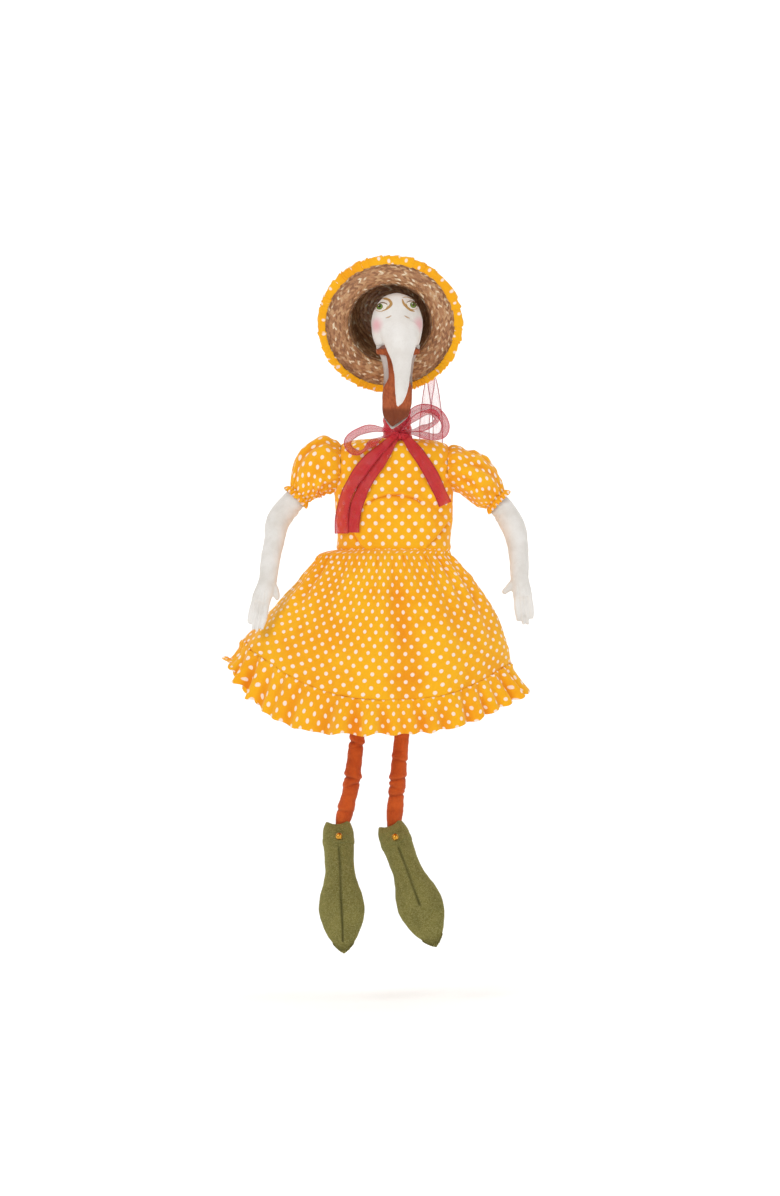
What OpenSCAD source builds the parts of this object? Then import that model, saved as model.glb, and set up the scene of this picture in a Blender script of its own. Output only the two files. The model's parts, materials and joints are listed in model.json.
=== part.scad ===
// Soft cloth bird doll: stuffed head with a long open bill, straw hat, dotted dress,
// hanging arms and legs, and pointed felt shoes. Millimetres, +Z up, the face looks along -Y.
// The origin is on the neck's axis, halfway up the neck: the doll hangs from its neck.

/* [Torso] */
// Width of the dressed torso across the armholes
torso_w = 119; // [100:1:144]
// Depth of the dressed torso, front to back
torso_d = 66; // [54:1:80]
// Width of the dressed torso at the waist
waist_w = 109; // [92:1:124]
// Height of the shoulders' top
shoulder_z = -40; // [-46:1:-38]
// Height of the waist seam
waist_z = -152; // [-165:1:-140]
// Height of the torso's seat
seat_z = -186; // [-200:1:-178]
// Thickness of the dress cloth as modelled
cloth_t = 1.2; // [0.8:0.1:1.6]

/* [Neck and head] */
// Radius of the stuffed neck
neck_r = 11; // [9:0.5:13]
// Height of the nodding axis
nod_z = 46; // [42:1:52]
// Width of the head across the cheeks
head_w = 51; // [42:1:61]
// Depth of the head
head_d = 60; // [50:1:72]
// Height of the head's crown above its middle
head_h = 32; // [27:1:38]
// Angle of the upper bill below the horizontal
bill_angle = 56; // [48:1:64]
// Length of the upper bill from the face
bill_l = 89; // [74:1:107]
// Length of the lower bill from the face
jaw_l = 86; // [72:1:104]
// Width of the lower bill
jaw_w = 29; // [24:1:35]

/* [Hat] */
// Diameter over the brim's binding
hat_w = 143; // [119:1:172]
// Diameter of the crown's opening
crown_w = 80; // [70:1:90]
// Depth of the crown
crown_h = 42; // [36:1:50]
// Tilt of the brim's face below the horizontal
hat_tilt = 23; // [10:1:35]
// Thickness of the plaited straw
straw_t = 2.2; // [1.6:0.1:2.8]
// Width of the pleated binding
trim_w = 6; // [4:0.5:8]

/* [Ribbon] */
// Width of the organza ribbon
ribbon_w = 13; // [10:1:16]
// Thickness of the ribbon as modelled
ribbon_t = 0.8; // [0.5:0.1:1.2]

/* [Arms] */
// Length of an arm from shoulder to fingertips
arm_l = 200; // [167:1:240]
// Radius of the forearm
arm_r = 9.5; // [8:0.5:11.5]
// Length of the puffed sleeve's root seam, top to bottom
sleeve_h = 54; // [46:1:62]

/* [Skirt] */
// Reach of the skirt's ruffle seam to the doll's right
hem_right = 150; // [125:1:180]
// Reach of the skirt's ruffle seam to the doll's left
hem_left = 119; // [100:1:142]
// Half depth of the skirt at its ruffle seam
hem_d = 84; // [78:1:100]
// Drop of the skirt's front from the waist seam to the ruffle seam
skirt_drop = 146; // [122:1:160]
// Drop of the ruffle
ruffle_drop = 34; // [28:1:41]

/* [Legs] */
// Radius of a stuffed leg
leg_r = 8.2; // [7.6:0.1:9.5]
// Length of the thigh, hip thread to knee thread
thigh_l = 191; // [175:1:229]
// Length of the shin, knee thread to ankle thread
shin_l = 44; // [40:1:53]
// Lean of the right thigh to the doll's right
right_thigh_lean = 6.6; // [0:0.2:10]
// Lean of the left thigh to the doll's right
left_thigh_lean = 5.2; // [0:0.2:10]
// Lean of the right shin to the doll's right
right_shin_lean = 14; // [0:0.5:14]
// Lean of the left shin to the doll's right
left_shin_lean = 5; // [0:0.5:14]
// Radius of the sewing threads at the joints
thread_r = 0.8; // [0.6:0.1:1]

/* [Shoes] */
// Length of a shoe from collar to toe
shoe_l = 138; // [122:1:165]
// Greatest width of a shoe
shoe_w = 45; // [38:1:54]
// Angle of the soles to the upright
shoe_pitch = 19; // [10:1:30]
// Diameter of the ankle bead
bead_d = 7; // [6:0.5:8]

/* [Hidden] */
$fn = 48;

RIGHT = -1; // the doll's right is -X
LEFT = 1;

gap = 0.4;            // between a stuffed piece and the cloth over it
joint_gap = 0.6;      // between pieces that turn on each other
cord_r = 1;           // radius of the heavier thread at the head, shoulders and hat
run = 0.05;           // radial clearance of a thread in the piece that turns on it
around = 28;          // points round a soft piece
skirt_around = 72;    // points round the skirt

// ---- Vectors, rings and lofts ----

function unit(v) = v / norm(v);
function spow(x, e) = sign(x) * pow(abs(x), e);
function mix(a, b, t) = a + (b - a) * t;
function middle(ring) = (ring[len(ring) / 4] + ring[3 * len(ring) / 4]) / 2;
function reversed(list) = [for (i = [len(list) - 1:-1:0]) list[i]];
function directions(points) = [for (i = [0:len(points) - 1])
    unit(points[min(i + 1, len(points) - 1)] - points[max(i - 1, 0)])];

// A superellipse of half sizes a and b along u and v: power 2 is an ellipse
function ring(c, u, v, a, b, power = 2, n = around) = [for (i = [0:n - 1])
    let (t = 360 * i / n)
    c + u * a * spow(cos(t), 2 / power) + v * b * spow(sin(t), 2 / power)];

// Rings along a limb whose stations are [centre, half width, half thickness]
function limb_rings(stations, power = 2, n = around) =
    let (d = directions([for (s = stations) s[0]]))
    [for (i = [0:len(stations) - 1])
        let (u = unit(cross([0, 1, 0], d[i])), v = cross(d[i], u), s = stations[i])
        ring(s[0], u, v, s[1], s[2], power, n)];

// Rings joined by triangles: capped at both ends, or with the last ring joined to the first
module loft(rings, closed = false) {
    m = len(rings);
    n = len(rings[0]);
    ends = closed ? [] : [middle(rings[0]), middle(rings[m - 1])];
    side = [for (k = [0:(closed ? m : m - 1) - 1], i = [0:n - 1])
        let (a = k * n + i, b = k * n + (i + 1) % n,
             c = ((k + 1) % m) * n + (i + 1) % n, d = ((k + 1) % m) * n + i)
        each [[a, c, b], [a, d, c]]];
    caps = closed ? [] : [for (i = [0:n - 1])
        let (j = (i + 1) % n, last = (m - 1) * n)
        each [[m * n, i, j], [m * n + 1, last + j, last + i]]];
    polyhedron(concat([for (r = rings) each r], ends), concat(side, caps));
}

// Cloth between an outer and an inner set of rings
module cloth(outer, inner) loft(concat(outer, reversed(inner)), closed = true);

// A flat ribbon along points, reaching the matching vectors to either side
module strip(points, across, thick = ribbon_t) {
    d = directions(points);
    loft([for (i = [0:len(points) - 1])
        let (w = across[i], t = unit(cross(d[i], w)) * thick / 2)
        [points[i] + w + t, points[i] - w + t, points[i] - w - t, points[i] + w - t]]);
}

module x_rod(r, from, to) translate([from, 0, 0]) rotate([0, 90, 0]) cylinder(r = r, h = to - from);

// ---- Torso and dress ----

body_x = -1;                         // middle of the torso
shoulder_x = torso_w / 2;            // the armholes' planes, from the middle of the torso
arm_axis_z = shoulder_z - 26;
shoulder_pin = 12;                   // reach of a shoulder thread to either side of the armhole

// Dressed torso sections: [height, half width, half depth]
bodice_sections = [
    [shoulder_z + 1.5, neck_r + 4, neck_r + 4],
    [shoulder_z, 0.33 * torso_w, 0.30 * torso_d],
    [shoulder_z - 4, 0.435 * torso_w, 0.39 * torso_d],
    [shoulder_z - 10, 0.475 * torso_w, 0.44 * torso_d],
    [shoulder_z - 20, 0.495 * torso_w, 0.475 * torso_d],
    [shoulder_z - 50, 0.499 * torso_w, 0.5 * torso_d],
    [mix(shoulder_z, waist_z, 0.72), mix(torso_w, waist_w, 0.3) / 2, 0.51 * torso_d],
    [waist_z - 2, waist_w / 2, 0.49 * torso_d],
];
seat_sections = [
    [waist_z - 3, waist_w / 2 - 1, 0.48 * torso_d],
    [mix(waist_z, seat_z, 0.6), 0.46 * waist_w, 0.44 * torso_d],
    [seat_z, 0.4 * waist_w, 0.34 * torso_d],
];

function body_ring(s, inset) =
    ring([body_x, 0, s[0]], [1, 0, 0], [0, 1, 0], s[1] - inset, s[2] - inset, 2.5, 32);

// Front surface of the bodice at a height and a distance from the middle
function section_at(z, list, k) = lookup(z, [for (s = list) [s[0], s[k]]]);
function bodice_front(x, z) = let (
        w = section_at(z, bodice_sections, 1), d = section_at(z, bodice_sections, 2))
    -d * pow(max(0, 1 - pow(min(1, abs(x - body_x) / w), 2.5)), 1 / 2.5);

hip_z = seat_z - 10;
hip_x = 20.5;         // hip threads' middles, to either side of the torso's middle
hip_r = 6;             // radius of the hip's knuckles
hip_tongue = 6;        // width of the torso's tongue in a hip
tongue_gap = 0.35;     // side play of a tongue in its fork

function side_x(side) = body_x + side * shoulder_x;
function hip(side) = [body_x + side * hip_x, 0, hip_z];

module torso() color("linen") difference() {
    union() {
        loft([for (s = concat(reversed(seat_sections), reversed([for (i = [1:7]) bodice_sections[i]])))
            body_ring([s[0] - (s[0] > waist_z ? cloth_t + gap : 0), s[1], s[2]], cloth_t + gap)]);
        for (side = [RIGHT, LEFT]) translate(hip(side)) {
            x_rod(hip_r, -hip_tongue / 2, hip_tongue / 2);
            translate([-hip_tongue / 2, -hip_r, 0]) cube([hip_tongue, 2 * hip_r, 13]);
        }
    }
    for (side = [RIGHT, LEFT]) {
        translate(hip(side)) x_rod(thread_r, -hip_tongue, hip_tongue);
        translate([side_x(side), 0, arm_axis_z]) x_rod(cord_r, -shoulder_pin, shoulder_pin);
    }
    translate([neck_x, 0, shoulder_z - dowel_depth]) cylinder(r = dowel_r + run, h = dowel_depth + 10);
}

module bodice() color("orange") difference() {
    cloth([for (s = reversed(bodice_sections)) body_ring(s, 0)],
          [for (s = reversed(bodice_sections)) body_ring([s[0] - (s[0] > waist_z ? cloth_t : 0), s[1], s[2]],
              cloth_t)]);
    for (side = [RIGHT, LEFT])
        translate([side_x(side), 0, arm_axis_z]) x_rod(armhole_r, -8, 8);
}

armhole_r = 10;

// The skirt: a point at an angle round it and a fraction of the way from waist seam to ruffle seam
skirt_top_z = waist_z + 3;
seam_z = waist_z - skirt_drop;
skirt_x = -3;
skirt_waist = [section_at(skirt_top_z, bodice_sections, 1) + cloth_t + 0.15,
    section_at(skirt_top_z, bodice_sections, 2) + cloth_t + 0.4];   // half sizes at its gathers
bulge_right = 0.68 * waist_w;          // half sizes just under the gathers
bulge_left = 0.55 * waist_w;
bulge_d = 0.66 * torso_d;

function reach(x) = x < 0 ? hem_right : hem_left;
function seam_height(x) = seam_z + (x < 0 ? 0.40 : 0.25) * skirt_drop * pow(min(1, abs(x) / reach(x)), 2.4);
function hem_height(x) = let (r = reach(x) + 18)
    seam_z - ruffle_drop + (x < 0 ? 75 : 42) * pow(min(1, abs(x) / r), x < 0 ? 4.5 : 2.2);
function skirt_half(x, s) = x < 0 ? mix(bulge_right, hem_right, pow(s, 1.1))
    : mix(bulge_left, hem_left, 1 - pow(1 - s, 1.8));
function skirt_depth(s) = mix(bulge_d, hem_d, pow(s, 0.8));
function skirt_z(c, s) = mix(waist_z - 3, seam_height(reach(c) * c), s);

function skirt_ring(s, inset) = [for (i = [0:skirt_around - 1])
    let (t = 360 * i / skirt_around, c = cos(t))
    [skirt_x + (skirt_half(c, s) - inset) * c, (skirt_depth(s) - inset) * sin(t), skirt_z(c, s)]];
function waist_ring(inset) = ring([body_x, 0, skirt_top_z], [1, 0, 0], [0, 1, 0],
    skirt_waist[0] - inset, skirt_waist[1] - inset, 2.5, skirt_around);
function hem_ring(inset, s = 1) = [for (i = [0:skirt_around - 1])
    let (t = 360 * i / skirt_around, flare = 18 * s - inset, x = (reach(cos(t)) + flare) * cos(t))
    [skirt_x + x, (hem_d + flare * 0.55) * sin(t), mix(seam_height(x), hem_height(x), s) - 0.2]];

// Front surface of the skirt at a place, for the hands that rest on it: the foremost of
// the points within a finger's width of that height
function skirt_front(x, z) = min([for (s = [0:0.05:1])
    let (c = (x - skirt_x) / skirt_half(x - skirt_x, s))
    abs(c) < 1 && abs(skirt_z(c, s) - z) < 12 ? -skirt_depth(s) * sqrt(1 - c * c) : 0]);

skirt_steps = [0, 0.15, 0.35, 0.6, 0.8, 1];

module skirt() color("orange")
    cloth(concat([for (s = reversed(skirt_steps)) skirt_ring(s, 0)], [waist_ring(0)]),
          concat([for (s = reversed(skirt_steps)) skirt_ring(s, cloth_t)], [waist_ring(cloth_t)]));

module skirt_ruffle() color("orange")
    cloth([hem_ring(0, 1), hem_ring(0, 0.5), hem_ring(0, 0)],
          [hem_ring(cloth_t, 1), hem_ring(cloth_t, 0.5), hem_ring(cloth_t, 0)]);

// ---- Neck and its ribbon ----

neck_x = 2;
dowel_r = 3;
dowel_depth = 45;      // reach of the neck's dowel into the torso
knuckle_r = 8;         // the neck's rounded top, which the head nods on
knuckle_w = 15;

module neck() color("linen") difference() {
    union() {
        translate([neck_x, 0, shoulder_z + joint_gap])
            cylinder(r = neck_r, h = nod_z - knuckle_r - 4 - shoulder_z);
        translate([neck_x, 0, nod_z]) {
            x_rod(knuckle_r, -knuckle_w / 2, knuckle_w / 2);
            translate([-knuckle_w / 2, -knuckle_r, -knuckle_r - 5])
                cube([knuckle_w, 2 * knuckle_r, knuckle_r + 5]);
        }
    }
    translate([neck_x, 0, shoulder_z]) cylinder(r = dowel_r, h = dowel_depth);
    translate([neck_x, 0, nod_z]) x_rod(cord_r + run, -neck_r, neck_r);
}

module neck_dowel() color("burlywood")
    translate([neck_x, 0, shoulder_z - dowel_depth + 1]) cylinder(r = dowel_r, h = 2 * dowel_depth - 1);

wrap_r = neck_r + 0.3;
wrap_top = -6;
wrap_base = shoulder_z + 3;

module neck_ribbon() color("crimson") translate([neck_x, 0, wrap_base]) difference() {
    cylinder(r = wrap_r + 1.8, h = wrap_top - wrap_base);
    translate([0, 0, -1]) cylinder(r = wrap_r, h = wrap_top - wrap_base + 2);
}

knot = [6, -(wrap_r + 2), -31];         // the middle of the knot's back, against the neck's ribbon
knot_half = [6.9, 6.6];                 // half width and half height
knot_sections = [[0, 0.75], [2.2, 0.95], [4.7, 1], [7.2, 0.93], [9.5, 0.7], [10.9, 0.25]];
knot_front = knot[1] - knot_sections[5][0];
module bow_knot() color("crimson") loft([for (s = knot_sections)
    ring(knot + [0, -s[0], 0], [1, 0, 0], [0, 0, 1], knot_half[0] * s[1], knot_half[1] * s[1])]);

loop_rise = 10.5;      // from the bodice to the middle of a bow loop's band
loop_w = ribbon_w - 3;
loop_end_w = 5;        // the band's width where it comes out of the knot
// Bow loops: an outline round a middle, from one side of the knot and back to it
function loop_points(side, c, a, b, turn) = [for (i = [0:18])
    let (t = 24 + 312 * i / 18, u = -side * a * cos(t), v = b * sin(t),
         x = c[0] + u * cos(turn) - v * sin(turn), z = c[1] + u * sin(turn) + v * cos(turn))
    [x, min(-8, bodice_front(x, z - 5) - loop_rise), z]];
function knot_side(side, rise) = knot + [side * (knot_half[0] + 0.1), -6, rise];

module bow_loop(side, c, a, b, turn) color("crimson") {
    points = concat([knot_side(side, 2)], loop_points(side, c, a, b, turn), [knot_side(side, -2)]);
    last = len(points) - 1;
    strip(points, [for (i = [0:last]) [0, (i == 0 || i == last ? loop_end_w : loop_w) / 2, 0]]);
}
module bow_loop_right() bow_loop(RIGHT, [-30, -43], 20, 12, 20);
module bow_loop_left() bow_loop(LEFT, [34, -24], 19, 14, -10);

// Ribbon tails lie on the bodice: routes are [x, z] places, and both edges are lifted off its front
function on_bodice(p, lift) = let (most = 0.86 * section_at(p[2], bodice_sections, 1),
        x = max(-most, min(most, p[0] - body_x)))
    [p[0], min(knot_front + 1, bodice_front(body_x + x, p[2])) - lift, p[2]];
tail_root_w = 6;       // the tails' width where they leave the knot
module ribbon_tail(route, lift) color("crimson") {
    points = [for (p = route) [p[0], 0, p[1]]];
    d = directions(points);
    last = len(points) - 1;
    edges = [for (i = [0:last]) [points[i], cross(d[i], [0, 1, 0]) * (i == 0 ? tail_root_w : ribbon_w) / 2]];
    stations = concat([for (i = [0:last - 1], k = [0:3]) mix(edges[i], edges[i + 1], k / 4)], [edges[last]]);
    loft([for (s = reversed(stations)) concat(
        [for (j = [2:-1:-2]) on_bodice(s[0] + s[1] * j / 2, lift)],
        [for (j = [-2:2]) on_bodice(s[0] + s[1] * j / 2, lift + ribbon_t)])]);
}
module ribbon_tail_right_outer()
    ribbon_tail([[5, -35], [-1, -47], [-18, -59], [-37, -75], [-49, -98], [-52, -118], [-53, -134]], 5.3);
module ribbon_tail_right_inner()
    ribbon_tail([[5, -35], [1, -48], [-12, -61], [-26, -77], [-36, -100], [-40, -118], [-41, -133]], 3.1);
module ribbon_tail_left()
    ribbon_tail([[7, -35], [13, -46], [27, -62], [43, -88], [51, -106]], 1.4);

// ---- Head, bill and mouth ----

head_c = [2, -2, 75];
head_sections = [ // [height above the middle, forward shift, half width, half depth]
    [-0.92 * head_h, 3, 0.26 * head_w, 0.28 * head_d],
    [-0.78 * head_h, 1, 0.36 * head_w, 0.36 * head_d],
    [-0.5 * head_h, 0, 0.455 * head_w, 0.45 * head_d],
    [-0.15 * head_h, 0, 0.5 * head_w, 0.495 * head_d],
    [0.2 * head_h, 0, 0.495 * head_w, 0.5 * head_d],
    [0.5 * head_h, 0, 0.44 * head_w, 0.455 * head_d],
    [0.75 * head_h, 0, 0.34 * head_w, 0.365 * head_d],
    [0.92 * head_h, 0, 0.2 * head_w, 0.22 * head_d],
    [head_h, 0, 0.07 * head_w, 0.08 * head_d],
];

// The face's seam plane, which both bills are sewn to
bill_dir = [0, -cos(bill_angle), -sin(bill_angle)];
face_p = [3, head_c[1] - 0.37 * head_d, head_c[2] - 0.5 * head_h];

module beyond_face(lift = 0) translate(face_p + bill_dir * lift)
    rotate([180 - (90 - bill_angle), 0, 0]) translate([-60, -60, 0]) cube([120, 120, 120]);

module head() color("linen") difference() {
    loft([for (s = head_sections) ring(head_c + [0, s[1], s[0]], [1, 0, 0], [0, 1, 0], s[2], s[3])]);
    beyond_face();
    translate([neck_x, 0, nod_z]) {
        x_rod(knuckle_r + joint_gap, -knuckle_w / 2 - joint_gap, knuckle_w / 2 + joint_gap);
        rotate([90, 0, 90]) translate([0, 0, -knuckle_w / 2 - joint_gap])
            linear_extrude(knuckle_w + 2 * joint_gap)
                polygon([[-knuckle_r - joint_gap, 0], [knuckle_r + joint_gap, 0], [16, -24], [-16, -24]]);
        x_rod(cord_r, -head_thread_l - 1, head_thread_l + 1);
    }
    translate(hat_c) rotate([hat_turn, 0, 0]) cylinder(r = cord_r, h = 60);
}

head_thread_l = 16;    // reach of the head's thread to either side
module head_thread() color("white") translate([neck_x, 0, nod_z])
    x_rod(cord_r, -head_thread_l, head_thread_l);

// A bill is swept down its own axis: stations are [along, sideways, lift, half width, half depth]
function bill_ring(origin, dir, s, shape) = let (up = cross(dir, [1, 0, 0]))
    [for (p = shape) origin + dir * s[0] + [s[1], 0, 0] + [1, 0, 0] * s[3] * p[0] + up * s[4] * p[1]
        + up * s[2]];
oval = [for (i = [0:23]) [cos(15 * i), sin(15 * i)]];
// A scoop: round below, hollow above
scoop = concat([for (i = [0:12]) [-cos(15 * i), -sin(15 * i)]],
               [for (i = [1:11]) let (x = cos(15 * i)) [x, -0.5 * sqrt(1 - x * x)]]);
// The lining that lies in the scoop
lining = concat([for (i = [0:12]) [-cos(15 * i), -0.5 * sin(15 * i)]],
                [for (i = [1:11]) let (x = cos(15 * i)) [x * 0.93, 0.14 - 0.4 * sqrt(1 - x * x)]]);

upper_stations = [
    [0.05, 2, 0, 17, 14], [0.17 * bill_l, 3, 0, 12.5, 11], [0.34 * bill_l, 4, 0, 9.5, 8.5],
    [0.55 * bill_l, 4, 0, 8, 7], [0.75 * bill_l, 3.4, 0, 6.9, 5.6], [0.9 * bill_l, 2, 0, 4.6, 4],
    [0.97 * bill_l, 0, 0, 2.4, 2.4], [bill_l, -1, 0, 0.6, 0.8],
];
module upper_bill() color("linen") intersection() {
    loft([for (s = upper_stations) bill_ring(face_p + [0, -3.5, 4], bill_dir, s, oval)]);
    beyond_face(0.05);
}

jaw_dir = [0, -cos(bill_angle + 13), -sin(bill_angle + 13)];
jaw_p = face_p + [0, 10, -9];
// The top stations are shallow and carried forward, to pass in front of the neck
jaw_stations = [
    [0, 0, 4.8, 0.76 * jaw_w, 4], [0.14 * jaw_l, 0, 3, 0.58 * jaw_w, 8],
    [0.28 * jaw_l, 0, 0.6, 0.5 * jaw_w, 10], [0.5 * jaw_l, -0.5, 0, 0.5 * jaw_w, 10],
    [0.75 * jaw_l, -1.5, 0, 0.48 * jaw_w, 9], [0.86 * jaw_l, -2.5, 0, 0.4 * jaw_w, 7],
    [0.95 * jaw_l, -4.5, 0, 0.18 * jaw_w, 4], [jaw_l, -6, 0, 1, 1.4],
];
function onto_face(p) = p - jaw_dir * ((p - face_p) * bill_dir - 0.05) / (jaw_dir * bill_dir);
function jaw_ring(s, shape, shift) = let (r = bill_ring(jaw_p + shift, jaw_dir, s, shape))
    s[0] > 0 ? r : [for (p = r) onto_face(p)];

module lower_bill() color("linen") loft([for (s = jaw_stations) jaw_ring(s, scoop, [0, 0, 0])]);
module mouth_lining() color("sienna")
    loft([for (s = jaw_stations) jaw_ring(s, lining, [0, -0.45, 0])]);

// ---- Hat ----

hat_c = [-5, 7, 76];
hat_turn = -(90 - hat_tilt);
brim_r = hat_w / 2 - 1.2;
crown_r = crown_w / 2;
brim = brim_r - crown_r - 8;            // width of the brim's flat part
// Inner face of the straw from the brim's edge to the middle of the crown: [radius, height]
straw_line = [
    [brim_r, -1], [brim_r - 0.37 * brim, 0.067 * brim - 1], [crown_r + 8, 0],
    [crown_r + 1, 4], [crown_r - 1, 12],
    [crown_r - 3, crown_h - 12], [crown_r - 9, crown_h - 4], [crown_r - 20, crown_h - 0.5], [0, crown_h],
];
function line_normals(line) = [for (i = [0:len(line) - 1])
    let (d = unit(line[min(i + 1, len(line) - 1)] - line[max(i - 1, 0)])) [-d[1], d[0]] * -1];
function lifted(line, t) = let (n = line_normals(line))
    [for (i = [0:len(line) - 1]) i == len(line) - 1 ? line[i] + [0, t] : line[i] + n[i] * t];

module hat_place() translate(hat_c) rotate([hat_turn, 0, 0]) children();
module straw_hat() color("peru") hat_place() difference() {
    rotate_extrude($fn = 96) polygon(concat(straw_line, reversed(lifted(straw_line, straw_t))));
    cylinder(r = cord_r, h = 100);
}
module hat_trim() color("orange") hat_place() rotate_extrude($fn = 96) polygon([
    [brim_r - trim_w, -2.6], [hat_w / 2, -2.6], [hat_w / 2, straw_t + 0.8], [brim_r - trim_w, straw_t + 1.8],
    [brim_r - trim_w, straw_t + 1], [brim_r + 0.4, straw_t + 0.2], [brim_r + 0.4, -1.4],
    [brim_r - trim_w, -1.4]]);
function band_side(t) = let (line = lifted(straw_line, straw_t + t)) [line[4], line[5]];
module hat_band() color("crimson") hat_place() rotate_extrude($fn = 96)
    polygon(concat(band_side(0.15), reversed(band_side(0.15 + ribbon_t))));
module hat_stitch() color("white") hat_place() translate([0, 0, 8]) cylinder(r = cord_r, h = crown_h);

sheer_w = 9;           // width of the sheer ends
module hat_ribbon_tail(x0, x1) color("pink") {
    points = [[x0, 47, 40], [x0, 42, 26], [mix(x0, x1, 0.5), 41, 5], [x1, 41, -20], [x1, 41, -48]];
    strip(points, [for (p = points) unit([1, 0.1, 0]) * sheer_w / 2], 0.6);
}
module hat_ribbon_tail_outer() hat_ribbon_tail(37, 43);
module hat_ribbon_tail_inner() translate([0, 1.5, 0]) hat_ribbon_tail(36, 30);

// ---- Arms and sleeves ----

arm_k = arm_l / 200;
hand_rest = 8;         // from the skirt to the middle of a hand's thickness

// An arm from the shoulder: [outwards, down, forwards, half width, half thickness]
right_route = [
    [2, 0, 0, 11, 11], [12, 1.5, 0, 12, 12], [24, 11, 0, 11.5, 11.5], [35, 28, 0, 10.6, 10.6],
    [46, 41, 3, 11.8, 11.8], [55.5, 54, 9, 12, 12], [60, 77, 20, 10, 10], [64, 98, 30, 9.5, 9.3],
    [66, 116, 37, 9, 8], [69.5, 126, 40, 8.8, 6.6], [74, 137, 43, 10, 5.6], [74.5, 148, 45, 8.6, 5],
    [74, 160, 46, 7, 4], [74, 166, 46, 4.5, 2.6]];
left_route = [
    [2, 3, 0, 11, 11], [12, 5, 0, 12, 12], [27, 15, 0, 11.5, 11.5], [41.5, 33, 0, 10.6, 10.6],
    [51, 46, 3, 11.8, 11.8], [59, 60, 8, 12, 12], [64, 82, 17, 10.2, 10.2], [65, 100, 25, 9.5, 9.3],
    [65.5, 114, 30, 9, 8], [67, 122, 32, 8.8, 6.6], [68.5, 132, 34, 10, 5.6], [68, 142, 35.5, 8.6, 5],
    [67, 153, 36.5, 7, 4], [66.5, 159, 37, 4.5, 2.6]];
first_finger_station = 10;

function arm_point(side, r) = let (
        x = side_x(side) + side * r[0] * arm_k, z = arm_axis_z - r[1] * arm_k)
    [x, min(-r[2] * arm_k, r[1] > 100 ? skirt_front(x, z) - hand_rest : 0), z];
function finger_groove(i, depth) = (i % 12 == 4 || i % 12 == 6 || i % 12 == 8) ? 1 - depth : 1;
function arm_ring(c, d, s, fingers) = let (u = unit(cross([0, 1, 0], d)), v = cross(d, u), k = arm_r / 9.5)
    [for (i = [0:23]) let (t = 15 * i)
        c + u * s[3] * k * spow(cos(t), fingers ? 0.8 : 1) + v * s[4] * k * sin(t)
            * finger_groove(i, fingers ? 0.4 : 0)];

module arm(side, route) color("linen") translate([side_x(side), 0, arm_axis_z]) difference() {
    union() {
        translate([-side_x(side), 0, -arm_axis_z]) {
            points = [for (r = route) arm_point(side, r)];
            d = directions(points);
            loft([for (i = [0:len(route) - 1])
                arm_ring(points[i], d[i], route[i], i >= first_finger_station)]);
        }
        x_rod(armhole_r - 2, min(-side * 0.9, side * 6), max(-side * 0.9, side * 6));
    }
    x_rod(cord_r + run, -shoulder_pin - 3, shoulder_pin + 3);
}
module right_arm() { arm(RIGHT, right_route); thumb(RIGHT, right_route, 10); }
module left_arm() { arm(LEFT, left_route); thumb(LEFT, left_route, 12); }
module thumb(side, route, reach_in) color("linen") {
    root = arm_point(side, route[first_finger_station - 2]) + [-side * 6, 0, -2];
    tip = root + [-side * reach_in * 0.7, 0, -18 * arm_k];
    loft(limb_rings([[root, 1, 1], [root + [0, 0, -3], 4.5, 3.6], [mix(root, tip, 0.6), 4.2, 3.4],
        [tip, 1.6, 1.4]], 2, 12));
}

module shoulder_thread(side) color("white") translate([side_x(side), 0, arm_axis_z])
    x_rod(cord_r, -shoulder_pin, shoulder_pin);
module shoulder_thread_right() shoulder_thread(RIGHT);
module shoulder_thread_left() shoulder_thread(LEFT);

// A sleeve: [outwards, down, tilt of its section, half height, half depth]
right_sleeve_sections = [
    [0.9, 0, 0, 0.5, 24], [7, -1.5, 3, 0.55, 28], [17, 2, 12, 0.53, 29.5], [25, 9, 26, 0.47, 27],
    [31, 20, 42, 0.33, 20], [34.5, 27.5, 48, 0.24, 13.6]];
left_sleeve_sections = [
    [0.9, 2, 0, 0.43, 23], [9, 5, 6, 0.43, 27], [21, 11, 13, 0.45, 29], [31, 19, 21, 0.42, 27],
    [37, 26, 31, 0.335, 20], [41.5, 32.5, 43, 0.24, 13.6]];

function sleeve_ring(side, s, inset, out = 0) = let (
        c = [side_x(side) + side * s[0], 0, arm_axis_z - s[1]],
        d = [side * cos(s[2]), 0, -sin(s[2])], u = unit(cross([0, 1, 0], d)), v = cross(d, u))
    ring(c + d * out, u, v, s[3] * sleeve_h - inset, s[4] - inset, 2.2);
module sleeve(side, sections) color("orange")
    cloth([for (s = sections) sleeve_ring(side, s, 0)], [for (s = sections) sleeve_ring(side, s, cloth_t)]);
module right_sleeve() sleeve(RIGHT, right_sleeve_sections);
module left_sleeve() sleeve(LEFT, left_sleeve_sections);

// The frill below the sleeve's elastic
module cuff(side, last) color("orange") {
    wide = [last[0], last[1], last[2], last[3] + 0.03, last[4] + 1.5];
    cloth([sleeve_ring(side, last, 0, 0.2), sleeve_ring(side, wide, 0, 7)],
          [sleeve_ring(side, last, cloth_t, 0.2), sleeve_ring(side, wide, cloth_t, 7)]);
}
module right_cuff() cuff(RIGHT, right_sleeve_sections[5]);
module left_cuff() cuff(LEFT, left_sleeve_sections[5]);

// ---- Legs: thread hinges with a tongue in a fork ----

leg_end = 9.2;         // from a hinge's thread to the end of a stuffed tube
knee_r = 7;
knee_tongue = 5;

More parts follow.
